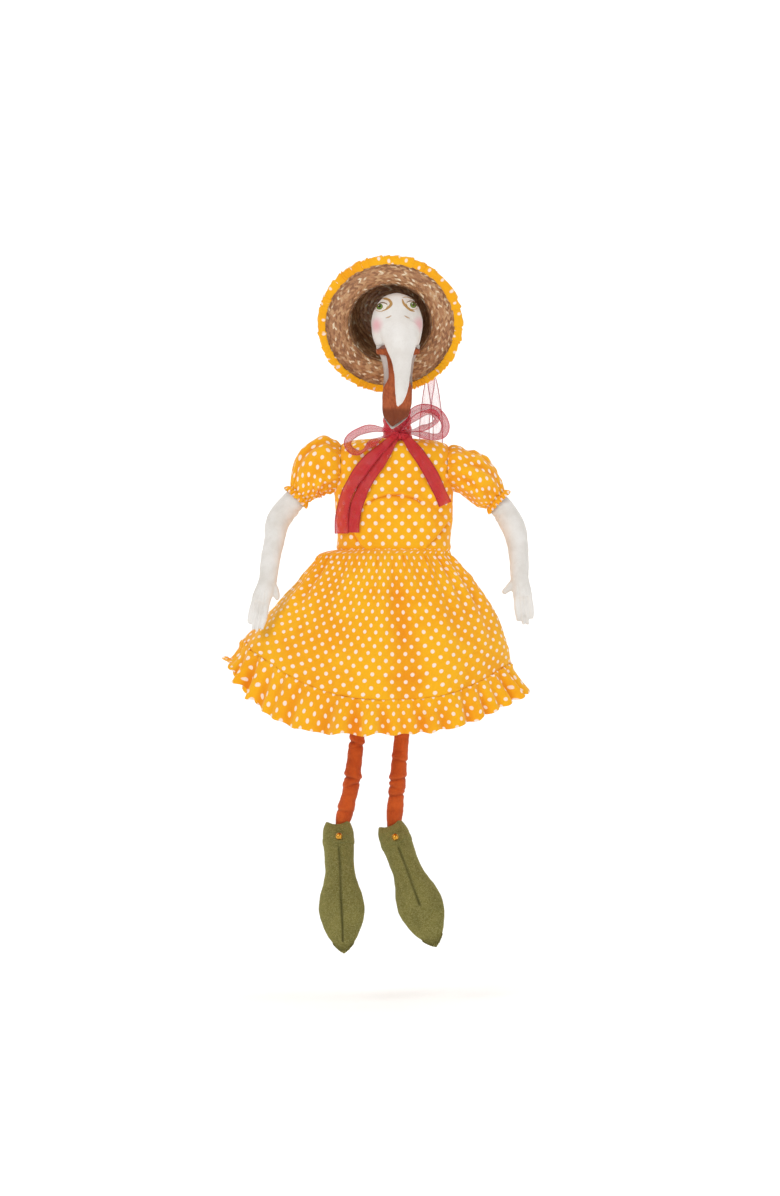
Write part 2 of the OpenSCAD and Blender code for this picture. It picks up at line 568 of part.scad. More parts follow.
// Ends of a hinge, about the X axis at the origin: up is +1 for a part above the thread
module tongue(w, r, up) {
    x_rod(r, -w / 2, w / 2);
    translate([-w / 2, -r, up > 0 ? 0 : -leg_end - 1]) cube([w, 2 * r, leg_end + 1]);
}
module fork(w, r, up, reach_x) for (s = [-1, 1]) {
    inner = w / 2 + tongue_gap;
    translate([s > 0 ? 0 : -inner - reach_x, 0, 0]) {
        x_rod(r, s > 0 ? inner : 0, s > 0 ? inner + reach_x : reach_x);
        translate([s > 0 ? inner : 0, -r, up > 0 ? 0 : -leg_end - 1]) cube([reach_x, 2 * r, leg_end + 1]);
    }
}
module thread_hole(c, r) translate(c) x_rod(r, -20, 20);

function leaning(a) = [-sin(a), 0, -cos(a)];
function thigh_dir(side) = leaning(side == RIGHT ? right_thigh_lean : left_thigh_lean);
function shin_lean(side) = side == RIGHT ? right_shin_lean : left_shin_lean;
function shin_dir(side) = leaning(shin_lean(side));
function knee(side) = hip(side) + thigh_dir(side) * thigh_l;
function ankle(side) = knee(side) + shin_dir(side) * shin_l;

module thigh(side) color("chocolate") difference() {
    union() {
        translate(hip(side)) fork(hip_tongue, hip_r, -1, 2.6);
        translate(knee(side)) tongue(knee_tongue, knee_r, 1);
        h = hip(side);
        tube = [[leg_end, leg_r], [leg_end + 12, leg_r + 1.6], [0.5 * thigh_l, leg_r + 0.2],
                [0.75 * thigh_l, leg_r - 1.2], [thigh_l - 30, leg_r], [thigh_l - leg_end, leg_r - 0.4]];
        loft(limb_rings([for (t = tube) [h + thigh_dir(side) * t[0], t[1], t[1] - 0.2]], 2, 20));
    }
    thread_hole(hip(side), thread_r + run);
    thread_hole(knee(side), thread_r);
}
module right_thigh() thigh(RIGHT);
module left_thigh() thigh(LEFT);

ankle_r = 6.4;
ankle_w = 12;
module shin(side) color("chocolate") difference() {
    union() {
        translate(knee(side)) fork(knee_tongue, knee_r, -1, 3.4);
        translate(ankle(side)) {
            x_rod(ankle_r, -ankle_w / 2, ankle_w / 2);
            translate([-ankle_w / 2, -ankle_r, 0]) cube([ankle_w, 2 * ankle_r, 9]);
        }
        k = knee(side);
        tube = [[leg_end, leg_r - 0.2], [0.5 * shin_l, leg_r + 0.2], [shin_l - 7, leg_r - 1]];
        loft(limb_rings([for (t = tube) [k + shin_dir(side) * t[0], t[1], t[1] - 0.6]], 2, 20));
    }
    thread_hole(knee(side), thread_r + run);
    thread_hole(ankle(side), thread_r);
}
module right_shin() shin(RIGHT);
module left_shin() shin(LEFT);

module hip_thread(side) color("white") translate(hip(side)) x_rod(thread_r, -5.8, 5.8);
module knee_thread(side) color("white") translate(knee(side)) x_rod(thread_r, -6, 6);
module ankle_thread(side) color("white") translate(ankle(side)) x_rod(thread_r, -10, 10);
module hip_thread_right() hip_thread(RIGHT);
module hip_thread_left() hip_thread(LEFT);
module knee_thread_right() knee_thread(RIGHT);
module knee_thread_left() knee_thread(LEFT);
module ankle_thread_right() ankle_thread(RIGHT);
module ankle_thread_left() ankle_thread(LEFT);

// ---- Shoes ----

shoe_turn = [-3, 21];          // turn of the right and left shoe, away from the doll's middle
shoe_shift = [-3, -1.5];         // the shoe's middle from the ankle's, sideways
sole_back = 12;                // from the ankle's middle to the flat back of the upper
shoe_k = shoe_l / 141;

// Along the shoe from the ankle: [along, half width, height of the instep]
shoe_sections = [
    [-6, 0.28, 12.5], [0, 0.32, 14.5], [25, 0.33, 14.5], [44, 0.325, 14], [58, 0.38, 13],
    [73, 0.48, 12], [88, 0.5, 10], [103, 0.42, 6], [116, 0.28, 1], [125, 0.13, -4.5], [128, 0.05, -7]];

module shoe_place(side) translate(ankle(side) + [side == RIGHT ? shoe_shift[0] : shoe_shift[1], 0, 0])
    rotate([0, side == RIGHT ? shoe_turn[0] : -shoe_turn[1], 0]) rotate([-shoe_pitch, 0, 0])
        children();
// Locally the toe points down -Z and the instep faces -Y
function shoe_ring(s, grow = 0) = [for (i = [0:27]) let (t = 360 * i / 28)
    [(s[1] * shoe_w + grow) * spow(cos(t), 0.9),
     sin(t) < 0 ? (s[2] + grow) * sin(t) : (sole_back + grow) * pow(sin(t), 0.45), -s[0] * shoe_k]];

module shin_room(side) {
    x_rod(ankle_r + 0.5, -ankle_w / 2 - 0.5, ankle_w / 2 + 0.5);
    rotate([0, shin_lean(side), 0])
        rotate([90, 0, 90]) translate([0, 0, -leg_r - 0.4]) linear_extrude(2 * leg_r + 0.8)
            polygon([[-ankle_r - 3, 5], [ankle_r + 3, 5], [14, 24], [-14, 24]]);
    rotate([90, 0, 90]) translate([0, 0, -ankle_w / 2 - 0.5]) linear_extrude(ankle_w + 1)
        polygon([[-ankle_r - 0.5, 0], [ankle_r + 0.5, 0], [ankle_r + 3.5, 8], [-ankle_r - 3.5, 8]]);
    x_rod(thread_r + run, -11, 11);
}
module shoe_upper(side) color("darkolivegreen") difference() {
    shoe_place(side) loft([for (s = reversed(shoe_sections)) shoe_ring(s)]);
    translate(ankle(side)) shin_room(side);
}
module right_shoe_upper() shoe_upper(RIGHT);
module left_shoe_upper() shoe_upper(LEFT);

sole_sections = [for (i = [1:9]) shoe_sections[i]];
module shoe_sole(side) color("darkolivegreen") shoe_place(side)
    translate([0, sole_back + 0.05, 0]) rotate([-90, 0, 0]) linear_extrude(1.8)
        polygon(concat([for (s = sole_sections) [s[1] * shoe_w * 0.86, s[0] * shoe_k]],
                       reversed([for (s = sole_sections) [-s[1] * shoe_w * 0.86, s[0] * shoe_k]])));
module right_shoe_sole() shoe_sole(RIGHT);
module left_shoe_sole() shoe_sole(LEFT);

strap_from = 9;
strap_to = 19;
strap_t = 1.4;
tab_back = 14.7;       // from the ankle's middle to the back of the strap's tab
tab_t = 2.2;
tab_drop = 14;         // from the ankle down to the tab's middle
function strap_section(a) = [a, mix(0.32, 0.33, a / 25), 14.5];
module shoe_strap(side) color("darkolivegreen") shoe_place(side) difference() {
    union() {
        cloth([for (a = [strap_to, strap_from]) shoe_ring(strap_section(a), strap_t + 0.1)],
              [for (a = [strap_to, strap_from]) shoe_ring(strap_section(a), 0.1)]);
        translate([0, -tab_back, -tab_drop]) rotate([90, 0, 0]) linear_extrude(tab_t) {
            translate([-6, -5]) square([12, 10]);
            translate([6, 0]) circle(r = 5);
        }
    }
    translate([-40, sole_back - 3, -40]) cube([80, 40, 80]);
}
module right_shoe_strap() shoe_strap(RIGHT);
module left_shoe_strap() shoe_strap(LEFT);

module shoe_bead(side) color("gold") shoe_place(side)
    translate([1, -tab_back - tab_t - bead_d / 2 - 0.02, -tab_drop]) sphere(d = bead_d);
module right_shoe_bead() shoe_bead(RIGHT);
module left_shoe_bead() shoe_bead(LEFT);

torso();
bodice();
skirt();
skirt_ruffle();
neck_ribbon();
bow_knot();
bow_loop_right();
bow_loop_left();
ribbon_tail_right_outer();
ribbon_tail_right_inner();
ribbon_tail_left();
shoulder_thread_right();
shoulder_thread_left();
hip_thread_right();
hip_thread_left();
neck();
neck_dowel();
head();
head_thread();
upper_bill();
lower_bill();
mouth_lining();
straw_hat();
hat_trim();
hat_band();
hat_stitch();
hat_ribbon_tail_outer();
hat_ribbon_tail_inner();
right_arm();
right_sleeve();
right_cuff();
left_arm();
left_sleeve();
left_cuff();
right_thigh();
left_thigh();
knee_thread_right();
knee_thread_left();
right_shin();
left_shin();
ankle_thread_right();
ankle_thread_left();
right_shoe_upper();
right_shoe_sole();
right_shoe_strap();
right_shoe_bead();
left_shoe_upper();
left_shoe_sole();
left_shoe_strap();
left_shoe_bead();
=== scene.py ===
import json
import math

import bmesh
import bpy
import numpy as np
from mathutils import Matrix, Vector
from mathutils.bvhtree import BVHTree

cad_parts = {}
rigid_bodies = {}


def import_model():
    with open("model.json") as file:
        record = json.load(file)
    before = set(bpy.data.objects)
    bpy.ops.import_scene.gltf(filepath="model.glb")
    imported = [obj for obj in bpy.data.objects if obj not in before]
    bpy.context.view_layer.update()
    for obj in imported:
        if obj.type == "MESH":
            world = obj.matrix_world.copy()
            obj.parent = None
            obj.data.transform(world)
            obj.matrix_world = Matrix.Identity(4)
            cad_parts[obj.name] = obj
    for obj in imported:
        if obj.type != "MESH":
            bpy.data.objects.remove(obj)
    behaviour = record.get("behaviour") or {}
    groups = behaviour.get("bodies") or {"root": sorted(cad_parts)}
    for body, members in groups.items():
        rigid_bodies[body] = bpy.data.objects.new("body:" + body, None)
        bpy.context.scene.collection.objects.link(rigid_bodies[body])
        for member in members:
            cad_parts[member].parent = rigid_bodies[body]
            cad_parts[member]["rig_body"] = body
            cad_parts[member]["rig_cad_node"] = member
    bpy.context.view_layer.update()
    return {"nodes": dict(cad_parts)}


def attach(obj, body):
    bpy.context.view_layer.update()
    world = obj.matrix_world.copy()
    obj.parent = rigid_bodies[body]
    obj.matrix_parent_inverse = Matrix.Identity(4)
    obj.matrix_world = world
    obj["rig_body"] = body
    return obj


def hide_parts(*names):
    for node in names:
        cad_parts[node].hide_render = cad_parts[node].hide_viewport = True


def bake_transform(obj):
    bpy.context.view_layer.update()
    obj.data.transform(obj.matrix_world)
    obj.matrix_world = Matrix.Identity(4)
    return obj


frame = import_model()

MM = 0.001
X = np.array([1.0, 0.0, 0.0])
Y = np.array([0.0, 1.0, 0.0])
Z = np.array([0.0, 0.0, 1.0])
scene = bpy.context.scene


# ---------------------------------------------------------------- numbers and curves

def unit(v):
    return v / np.maximum(np.linalg.norm(v, axis=-1, keepdims=True), 1e-9)


def mix(a, b, t):
    return a + (b - a) * t


def smooth01(x):
    x = np.clip(x, 0, 1)
    return x * x * (3 - 2 * x)


def bell(x, wide):
    return np.exp(-(x / wide) ** 2)


def spow(x, e):
    return np.sign(x) * np.abs(x) ** e


def resample(rows, n, at=None):
    """A smooth curve through rows, at n even steps of its own parameter."""
    rows = np.array(rows, float)
    if at is None:
        at = np.r_[0, np.cumsum(np.linalg.norm(np.diff(rows, axis=0), axis=1))]
    at = np.array(at, float)
    slope = np.gradient(rows, at, axis=0)
    t = np.linspace(at[0], at[-1], n)
    k = np.clip(np.searchsorted(at, t, side="right") - 1, 0, len(at) - 2)
    h = (at[k + 1] - at[k])[:, None]
    u = ((t - at[k]) / (at[k + 1] - at[k]))[:, None]
    return (rows[k] * (2 * u**3 - 3 * u**2 + 1) + slope[k] * h * (u**3 - 2 * u**2 + u)
            + rows[k + 1] * (3 * u**2 - 2 * u**3) + slope[k + 1] * h * (u**3 - u**2))


def ripple(x, y, seed, wave, stretch=1.0, waves=9):
    """Smooth seeded waves of about that wavelength, from -1 to 1; stretch lengthens them along y."""
    rng = np.random.default_rng(seed)
    total = 0
    for _ in range(waves):
        turn = rng.uniform(0, 2 * math.pi)
        k = 2 * math.pi / (wave * rng.uniform(0.7, 1.5))
        total = total + np.sin(k * (math.cos(turn) * x + math.sin(turn) * y / stretch) + rng.uniform(0,
                                                                                                     6.28))
    return total / waves * 1.8


def wavy(angle, counts, seed):
    """Folds round a closed ring: a sum of whole numbers of waves."""
    rng = np.random.default_rng(seed)
    total = 0
    for count in counts:
        total = total + rng.uniform(0.6, 1.0) * np.sin(count * angle + rng.uniform(0, 6.28))
    return total / len(counts)


def around(ring):
    """Distance round a closed ring to each of its points, and back to the first."""
    return np.r_[0, np.cumsum(np.linalg.norm(np.diff(np.vstack([ring, ring[:1]]), axis=0), axis=1))]


def line_distance(x, z, line):
    """Distance to a polyline, and which side of it: above is positive."""
    best = np.full(x.shape, 1e9)
    side = np.zeros(x.shape)
    for (x0, z0), (x1, z1) in zip(line[:-1], line[1:]):
        dx, dz = x1 - x0, z1 - z0
        long2 = dx * dx + dz * dz
        t = np.clip(((x - x0) * dx + (z - z0) * dz) / long2, 0, 1)
        ex, ez = x - x0 - t * dx, z - z0 - t * dz
        d = np.hypot(ex, ez)
        near = d < best
        best = np.where(near, d, best)
        side = np.where(near, np.sign(dx * ez - dz * ex) * np.sign(dx), side)
    return best, side


def crease(x, z, line, depth, wide):
    """A sharp fold along a line of the cloth, with a soft roll over its upper side."""
    d, side = line_distance(x, z, line)
    return -depth * bell(d, wide) + 0.7 * depth * bell(d - 2.2 * wide, 2 * wide) * (side > 0)


# ---------------------------------------------------------------- meshes

def add_mesh(name, verts, faces, mat, uvs=None):
    mesh = bpy.data.meshes.new(name)
    mesh.from_pydata((np.asarray(verts, float) * MM).tolist(), [], [list(f) for f in faces])
    if uvs is not None:
        layer = mesh.uv_layers.new(name="UVMap")
        layer.data.foreach_set("uv", np.asarray(uvs, np.float32).ravel())
    mesh.polygons.foreach_set("use_smooth", [True] * len(mesh.polygons))
    mesh.update()
    obj = bpy.data.objects.new(name, mesh)
    scene.collection.objects.link(obj)
    obj.data.materials.append(mat)
    return obj


def grid(name, points, mat, wrap=True, caps=False, uv=None, thick=0.0, flip=False):
    """Rows of points joined by quads. wrap closes each row.
    uv is (rows, columns + wrap, 2), in metres of cloth."""
    points = np.asarray(points, float)
    rows, cols = points.shape[:2]
    c = np.arange(cols if wrap else cols - 1)
    r = np.arange(rows - 1)
    rr, cc = np.meshgrid(r, c, indexing="ij")
    nxt = (cc + 1) % cols
    quads = np.stack([rr * cols + cc, (rr + 1) * cols + cc, (rr + 1) * cols + nxt, rr * cols + nxt], -1)
    quads = quads.reshape(-1, 4)
    if flip:
        quads = quads[:, ::-1]
    uvs = None
    if uv is not None:
        uv = np.asarray(uv, float)
        corners = [uv[rr, cc], uv[rr + 1, cc], uv[rr + 1, cc + 1], uv[rr, cc + 1]]
        if flip:
            corners = corners[::-1]
        uvs = np.stack(corners, 2).reshape(-1, 2)
    verts = points.reshape(-1, 3)
    faces = quads.tolist()
    if caps:
        verts = np.vstack([verts, points[0].mean(0), points[-1].mean(0)])
        a, b = rows * cols, rows * cols + 1
        last = (rows - 1) * cols
        ends = [[a, i, (i + 1) % cols] for i in range(cols)]
        ends += [[b, last + (i + 1) % cols, last + i] for i in range(cols)]
        faces += [f[::-1] for f in ends] if flip else ends
        if uvs is not None:
            uvs = np.vstack([uvs, np.zeros((3 * len(ends), 2))])
    obj = add_mesh(name, verts, faces, mat, uvs)
    if thick:
        m = obj.modifiers.new("thickness", "SOLIDIFY")
        m.thickness = thick * MM
        m.offset = -1
    return obj


def bake_modifiers(obj):
    """Leaves the evaluated shape as the piece's own mesh."""
    graph = bpy.context.evaluated_depsgraph_get()
    graph.update()
    mesh = bpy.data.meshes.new_from_object(obj.evaluated_get(graph))
    obj.modifiers.clear()
    obj.data = mesh
    mesh.polygons.foreach_set("use_smooth", [True] * len(mesh.polygons))
    return obj


def fuse(name, parts, mat, voxel, rounds=6, factor=0.5):
    """One stuffed skin over several closed parts."""
    work = bmesh.new()
    for part in parts:
        part.data.transform(part.matrix_world)
        work.from_mesh(part.data)
        bpy.data.objects.remove(part)
    mesh = bpy.data.meshes.new(name)
    bmesh.ops.recalc_face_normals(work, faces=work.faces)
    work.to_mesh(mesh)
    work.free()
    obj = bpy.data.objects.new(name, mesh)
    scene.collection.objects.link(obj)
    m = obj.modifiers.new("skin", "REMESH")
    m.mode = "VOXEL"
    m.voxel_size = voxel * MM
    m.use_smooth_shade = True
    s = obj.modifiers.new("ease", "SMOOTH")
    s.iterations = rounds
    s.factor = factor
    bake_modifiers(obj)
    obj.data.materials.clear()
    obj.data.materials.append(mat)
    return obj


def cad_copy(node):
    obj = frame["nodes"][node].copy()
    obj.data = obj.data.copy()
    obj.parent = None
    obj.hide_render = obj.hide_viewport = False
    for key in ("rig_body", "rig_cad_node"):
        del obj[key]
    scene.collection.objects.link(obj)
    return obj


def coords(obj):
    co = np.zeros(len(obj.data.vertices) * 3, np.float32)
    obj.data.vertices.foreach_get("co", co)
    return co.reshape(-1, 3).astype(float) / MM


def normals(obj):
    return np.array([v.normal[:] for v in obj.data.vertices])


def set_coords(obj, co):
    obj.data.vertices.foreach_set("co", (co * MM).astype(np.float32).ravel())
    obj.data.update()


def swell(obj, amount):
    """Moves every point along its normal by amount, in millimetres."""
    set_coords(obj, coords(obj) + normals(obj) * np.asarray(amount)[:, None])


def limb(stations, n, cols, power=1.0):
    """Rings along [x, y, z, half width, half thickness] stations."""
    s = resample(stations, n, np.r_[0, np.cumsum(np.linalg.norm(np.diff(np.array(stations)[:, :3],
                                                                        axis=0), axis=1))])
    centre = s[:, :3]
    d = unit(np.gradient(centre, axis=0))
    u = unit(np.cross(Y, d))
    v = np.cross(d, u)
    t = np.linspace(0, 2 * math.pi, cols, endpoint=False)
    c, sn = spow(np.cos(t), power), spow(np.sin(t), power)
    rings = (centre[:, None] + u[:, None] * (s[:, 3, None] * c)[..., None]
             + v[:, None] * (s[:, 4, None] * sn)[..., None])
    return rings, centre, d, t


def tint_hollows(obj, move, deep):
    """Keep how far each point lies inside a fold, for painted shade: the cloth's colour is darkened there,
    where shade falls.
    """
    layer = obj.data.attributes.new("hollow", "FLOAT", "POINT")
    layer.data.foreach_set("value", np.clip(-move / deep, 0, 1).astype(np.float32).ravel())


def dressed(obj, body, nodes=()):
    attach(obj, body)
    if nodes:
        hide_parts(*nodes)
    return obj


# ---------------------------------------------------------------- materials

class Shader:
    """A procedural material: every method adds a node and gives its output."""

    def __init__(self, name, **sockets):
        self.mat = bpy.data.materials.new(name)
        self.mat.use_nodes = True
        self.tree = self.mat.node_tree
        self.bsdf = self.tree.nodes["Principled BSDF"]
        self.put(self.bsdf, sockets)

    def put(self, node, sockets):
        for key, value in sockets.items():
            socket = node.inputs[key]
            if isinstance(value, bpy.types.NodeSocket):
                self.tree.links.new(value, socket)
            else:
                socket.default_value = value

    def add(self, kind, sockets=None, out=0, **settings):
        node = self.tree.nodes.new("ShaderNode" + kind)
        for key, value in settings.items():
            setattr(node, key, value)
        self.put(node, sockets or {})
        return node.outputs[out]

    def set(self, **sockets):
        self.put(self.bsdf, {k.replace("_", " "): v for k, v in sockets.items()})

    def object(self):
        return self.add("TexCoord", out="Object")

    def uv(self):
        return self.add("TexCoord", out="UV")

    def scaled(self, vector, scale, turn=0.0, shift=(0, 0, 0)):
        return self.add("Mapping", {"Vector": vector, "Scale": scale, "Rotation": (0, 0, turn),
                                    "Location": shift})

    def noise(self, vector, scale, detail=3.0, rough=0.55, distort=0.0, out="Fac"):
        return self.add("TexNoise", {"Vector": vector, "Scale": scale, "Detail": detail,
                                     "Roughness": rough, "Distortion": distort}, out=out)

    def math(self, op, a, b=0.0, clamp=False):
        return self.add("Math", {0: a, 1: b}, operation=op, use_clamp=clamp)

    def vector(self, op, a, b=(0, 0, 0), out=0):
        return self.add("VectorMath", {0: a, 1: b}, out=out, operation=op)

    def fade(self, value, low, high, to_low=0.0, to_high=1.0):
        return self.add("MapRange", {0: value, 1: low, 2: high, 3: to_low, 4: to_high},
                        interpolation_type="SMOOTHSTEP")

    def colour(self, fac, a, b, blend="MIX"):
        node = self.tree.nodes.new("ShaderNodeMix")
        node.data_type = "RGBA"
        node.blend_type = blend
        self.put(node, {0: fac, 6: a, 7: b})
        return node.outputs[2]

    def bump(self, height, strength, distance, normal=None):
        sockets = {"Height": height, "Strength": strength, "Distance": distance}
        if normal is not None:
            sockets["Normal"] = normal
        return self.add("Bump", sockets)

    def weave(self, vector, pitch):
        """Crossed threads of that pitch in metres, from 0 to 1, by a vector in metres."""
        k = 2 * math.pi / pitch
        parts = self.add("SeparateXYZ", {0: vector}, out=0).node.outputs
        a = self.math("SINE", self.math("MULTIPLY", parts[0], k))
        b = self.math("SINE", self.math("MULTIPLY", parts[1], k))
        c = self.math("SINE", self.math("MULTIPLY", parts[2], k))
        return self.math("ADD", self.math("MULTIPLY", self.math("MULTIPLY", a, b), 0.5),
                         self.math("MULTIPLY", c, 0.25))


def srgb(code, alpha=1.0):
    parts = [int(code[i:i + 2], 16) / 255 for i in (0, 2, 4)]
    return tuple(p / 12.92 if p <= 0.04045 else ((p + 0.055) / 1.055) ** 2.4 for p in parts) + (alpha,)


def dotted_cotton(name, turned, pitch=0.0098, dot=0.0040):
    """Yellow cotton with woven threads and printed white dots. Its UVs are metres of cloth."""
    s = Shader(name, Roughness=0.82)
    s.bsdf.inputs["Sheen Weight"].default_value = 0.18
    s.bsdf.inputs["Sheen Roughness"].default_value = 0.5
    s.bsdf.inputs["Specular IOR Level"].default_value = 0.25
    uv = s.uv()
    wander = s.noise(s.scaled(uv, (60, 60, 60)), 1.0, 1.0, out="Color")
    uv2 = s.vector("ADD", uv, s.vector("SCALE", s.vector("SUBTRACT", wander, (0.5, 0.5, 0.5)), (0, 0, 0)))
    scale_node = uv2.node.inputs[1].links[0].from_node
    scale_node.inputs["Scale"].default_value = 0.0016
    cells = s.scaled(uv2, (1 / pitch, 1 / pitch, 0), math.radians(45) if turned else 0.0)
    inside = s.vector("SUBTRACT", s.vector("FRACTION", cells), (0.5, 0.5, 0.0))
    flat = s.vector("MULTIPLY", inside, (1, 1, 0))
    away = s.vector("LENGTH", flat, out="Value")
    edge = s.noise(s.scaled(uv, (900, 900, 900)), 1.0, 2.0)
    away = s.math("ADD", away, s.math("MULTIPLY", s.math("SUBTRACT", edge, 0.5), 0.06))
    half = dot / pitch / 2
    mask = s.fade(away, half - 0.05, half + 0.05, 1.0, 0.0)
    broad = s.noise(s.object(), 22.0, 3.0, 0.6)
    yellow = s.colour(s.fade(broad, 0.35, 0.7), srgb("FBB612"), srgb("F7A60C"))
    slub = s.noise(s.scaled(uv, (2600, 160, 1)), 1.0, 2.0)
    yellow = s.colour(s.math("MULTIPLY", s.fade(slub, 0.55, 0.8), 0.35), yellow, srgb("F39A08"))
    # Painted shade: the yellow turns deep orange in the hollows of the folds
    hollow = s.add("Attribute", out="Fac", attribute_name="hollow")
    yellow = s.colour(s.math("MULTIPLY", hollow, 0.85), yellow, srgb("EC8306"))
    white = s.colour(s.fade(slub, 0.5, 0.8), srgb("FDEADB"), srgb("F8D9BB"))
    base = s.colour(mask, yellow, white)
    threads = s.weave(uv, 0.00062)
    height = s.math("ADD", s.math("MULTIPLY", threads, 0.5), s.math("MULTIPLY", slub, 0.6))
    soft = s.noise(s.object(), 95.0, 3.0, 0.55)
    normal = s.bump(height, 0.22, 0.00025, s.bump(soft, 0.3, 0.0012))
    s.set(Base_Color=base, Normal=normal)
    return s.mat


def linen_shader(name, light="E9E4DE", shade="D6CFC6", coarse=0.0007, bump=0.2):
    s = Shader(name, Roughness=0.88)
    s.bsdf.inputs["Sheen Weight"].default_value = 0.12
    s.bsdf.inputs["Specular IOR Level"].default_value = 0.25
    p = s.object()
    mottle = s.noise(p, 38.0, 4.0, 0.6)
    base = s.colour(s.fade(mottle, 0.3, 0.75), srgb(light), srgb(shade))
    fibre = s.noise(s.scaled(p, (1300, 1300, 420)), 1.0, 3.0)
    base = s.colour(s.math("MULTIPLY", s.fade(fibre, 0.5, 0.85), 0.28), base, srgb("C4B9AC"))
    threads = s.weave(p, coarse)
    dents = s.noise(p, 120.0, 3.0)
    normal = s.bump(s.math("ADD", threads, fibre), bump, 0.0003, s.bump(dents, 0.22, 0.0012))
    s.set(Base_Color=base, Normal=normal)
    return s, base


def linen(name, **kinds):
    return linen_shader(name, **kinds)[0].mat


def spot(s, p, centre, radius, inner=0.1):
    """1 at a place of the face, fading to 0 at radius, in millimetres."""
    away = s.vector("SUBTRACT", p, tuple(c * MM for c in centre))
    away = s.vector("MULTIPLY", away, (1.0, 0.45, 1.0))
    return s.fade(s.vector("LENGTH", away, out="Value"), radius * inner * MM, radius * MM, 1.0, 0.0)


def painted_head():
    s, base = linen_shader("head_linen", "F0ECE7", "E2DCD5", 0.0006, 0.12)
    p = s.object()
    for centre, radius, strength in (((-19.5, -22, 73.5), 11, 0.7), ((25.5, -20, 74.5), 11, 0.65)):
        base = s.colour(s.math("MULTIPLY", spot(s, p, centre, radius), strength), base, srgb("E79BA6"))
    # Warm shadows painted at the inner corners of the eyes
    for centre in ((-8.0, -28, 97.0), (13.0, -28, 97.0)):
        base = s.colour(s.math("MULTIPLY", spot(s, p, centre, 8), 0.22), base, srgb("C9A27C"))
    s.set(Base_Color=base)
    s.bsdf.inputs["Coat Weight"].default_value = 0.06
    s.bsdf.inputs["Coat Roughness"].default_value = 0.55
    return s.mat


def paint(name, a, b, rough=0.45, coat=0.25):
    s = Shader(name, Roughness=rough)
    s.bsdf.inputs["Coat Weight"].default_value = coat
    s.bsdf.inputs["Coat Roughness"].default_value = 0.2
    strokes = s.noise(s.scaled(s.object(), (900, 900, 2400)), 1.0, 3.0)
    s.set(Base_Color=s.colour(s.fade(strokes, 0.35, 0.7), srgb(a), srgb(b)),
          Normal=s.bump(strokes, 0.15, 0.0002))
    return s.mat


def brown_cotton():
    s = Shader("lining_cotton", Roughness=0.92)
    s.bsdf.inputs["Sheen Weight"].default_value = 0.25
    s.bsdf.inputs["Specular IOR Level"].default_value = 0.2
    p = s.object()
    brushed = s.noise(s.scaled(p, (420, 420, 130)), 1.0, 4.0, 0.65)
    base = s.colour(s.fade(brushed, 0.3, 0.72), srgb("A14F2C"), srgb("C0683D"))
    patch = s.noise(p, 55.0, 3.0)
    base = s.colour(s.math("MULTIPLY", s.fade(patch, 0.5, 0.75), 0.6), base, srgb("7E3A1E"))
    # Painted shade: the lining darkens towards the bottom of the mouth, where its inside lies in shadow
    height = s.add("SeparateXYZ", {0: p}, out=2)
    base = s.colour(s.fade(height, -0.013, -0.007, 0.75, 0.0), base, srgb("6E331B"))
    threads = s.weave(p, 0.0007)
    s.set(Base_Color=base, Normal=s.bump(s.math("ADD", threads, brushed), 0.35, 0.0004))
    return s.mat


def orange_cotton():
    s = Shader("leg_cotton", Roughness=0.85)
    s.bsdf.inputs["Sheen Weight"].default_value = 0.12
    s.bsdf.inputs["Specular IOR Level"].default_value = 0.22
    p = s.object()
    patch = s.noise(p, 70.0, 3.0)
    base = s.colour(s.fade(patch, 0.32, 0.7), srgb("CE5A1F"), srgb("BA4A18"))
    slub = s.noise(s.scaled(p, (1500, 1500, 260)), 1.0, 3.0)
    base = s.colour(s.math("MULTIPLY", s.fade(slub, 0.5, 0.8), 0.4), base, srgb("DE7434"))
    slub2 = s.noise(s.scaled(p, (260, 260, 1500)), 1.0, 3.0)
    base = s.colour(s.math("MULTIPLY", s.fade(slub2, 0.5, 0.8), 0.35), base, srgb("A33F14"))
    threads = s.weave(p, 0.0008)
    # Painted shade: the orange darkens in the pinched creases of the legs
    base = s.colour(s.math("MULTIPLY", s.add("Attribute", out="Fac", attribute_name="hollow"), 0.8), base,
                    srgb("7E2C0C"))
    height = s.math("ADD", threads, s.math("ADD", slub, slub2))
    s.set(Base_Color=base, Normal=s.bump(height, 0.35, 0.00035))
    return s.mat


def olive_felt():
    s = Shader("olive_felt", Roughness=0.97)
    s.bsdf.inputs["Sheen Weight"].default_value = 0.55
    s.bsdf.inputs["Sheen Roughness"].default_value = 0.6
    s.bsdf.inputs["Sheen Tint"].default_value = srgb("A7A873")
    s.bsdf.inputs["Specular IOR Level"].default_value = 0.1
    p = s.object()
    patch = s.noise(p, 45.0, 4.0, 0.65)
    base = s.colour(s.fade(patch, 0.3, 0.72), srgb("66602F"), srgb("7B743D"))
    hair = s.noise(s.scaled(p, (700, 700, 700)), 1.0, 4.0, 0.75, 1.5)
    base = s.colour(s.math("MULTIPLY", s.fade(hair, 0.42, 0.68), 0.75), base, srgb("A39B66"))
    dark = s.noise(s.scaled(p, (520, 520, 520), shift=(3, 5, 7)), 1.0, 4.0, 0.7, 1.0)
    base = s.colour(s.math("MULTIPLY", s.fade(dark, 0.5, 0.75), 0.5), base, srgb("43461F"))
    # Painted shade: the felt darkens along the groove of the seam
    base = s.colour(s.math("MULTIPLY", s.add("Attribute", out="Fac", attribute_name="hollow"), 0.75), base,
                    srgb("2E3013"))
    s.set(Base_Color=base, Normal=s.bump(hair, 0.6, 0.0006))
    return s.mat


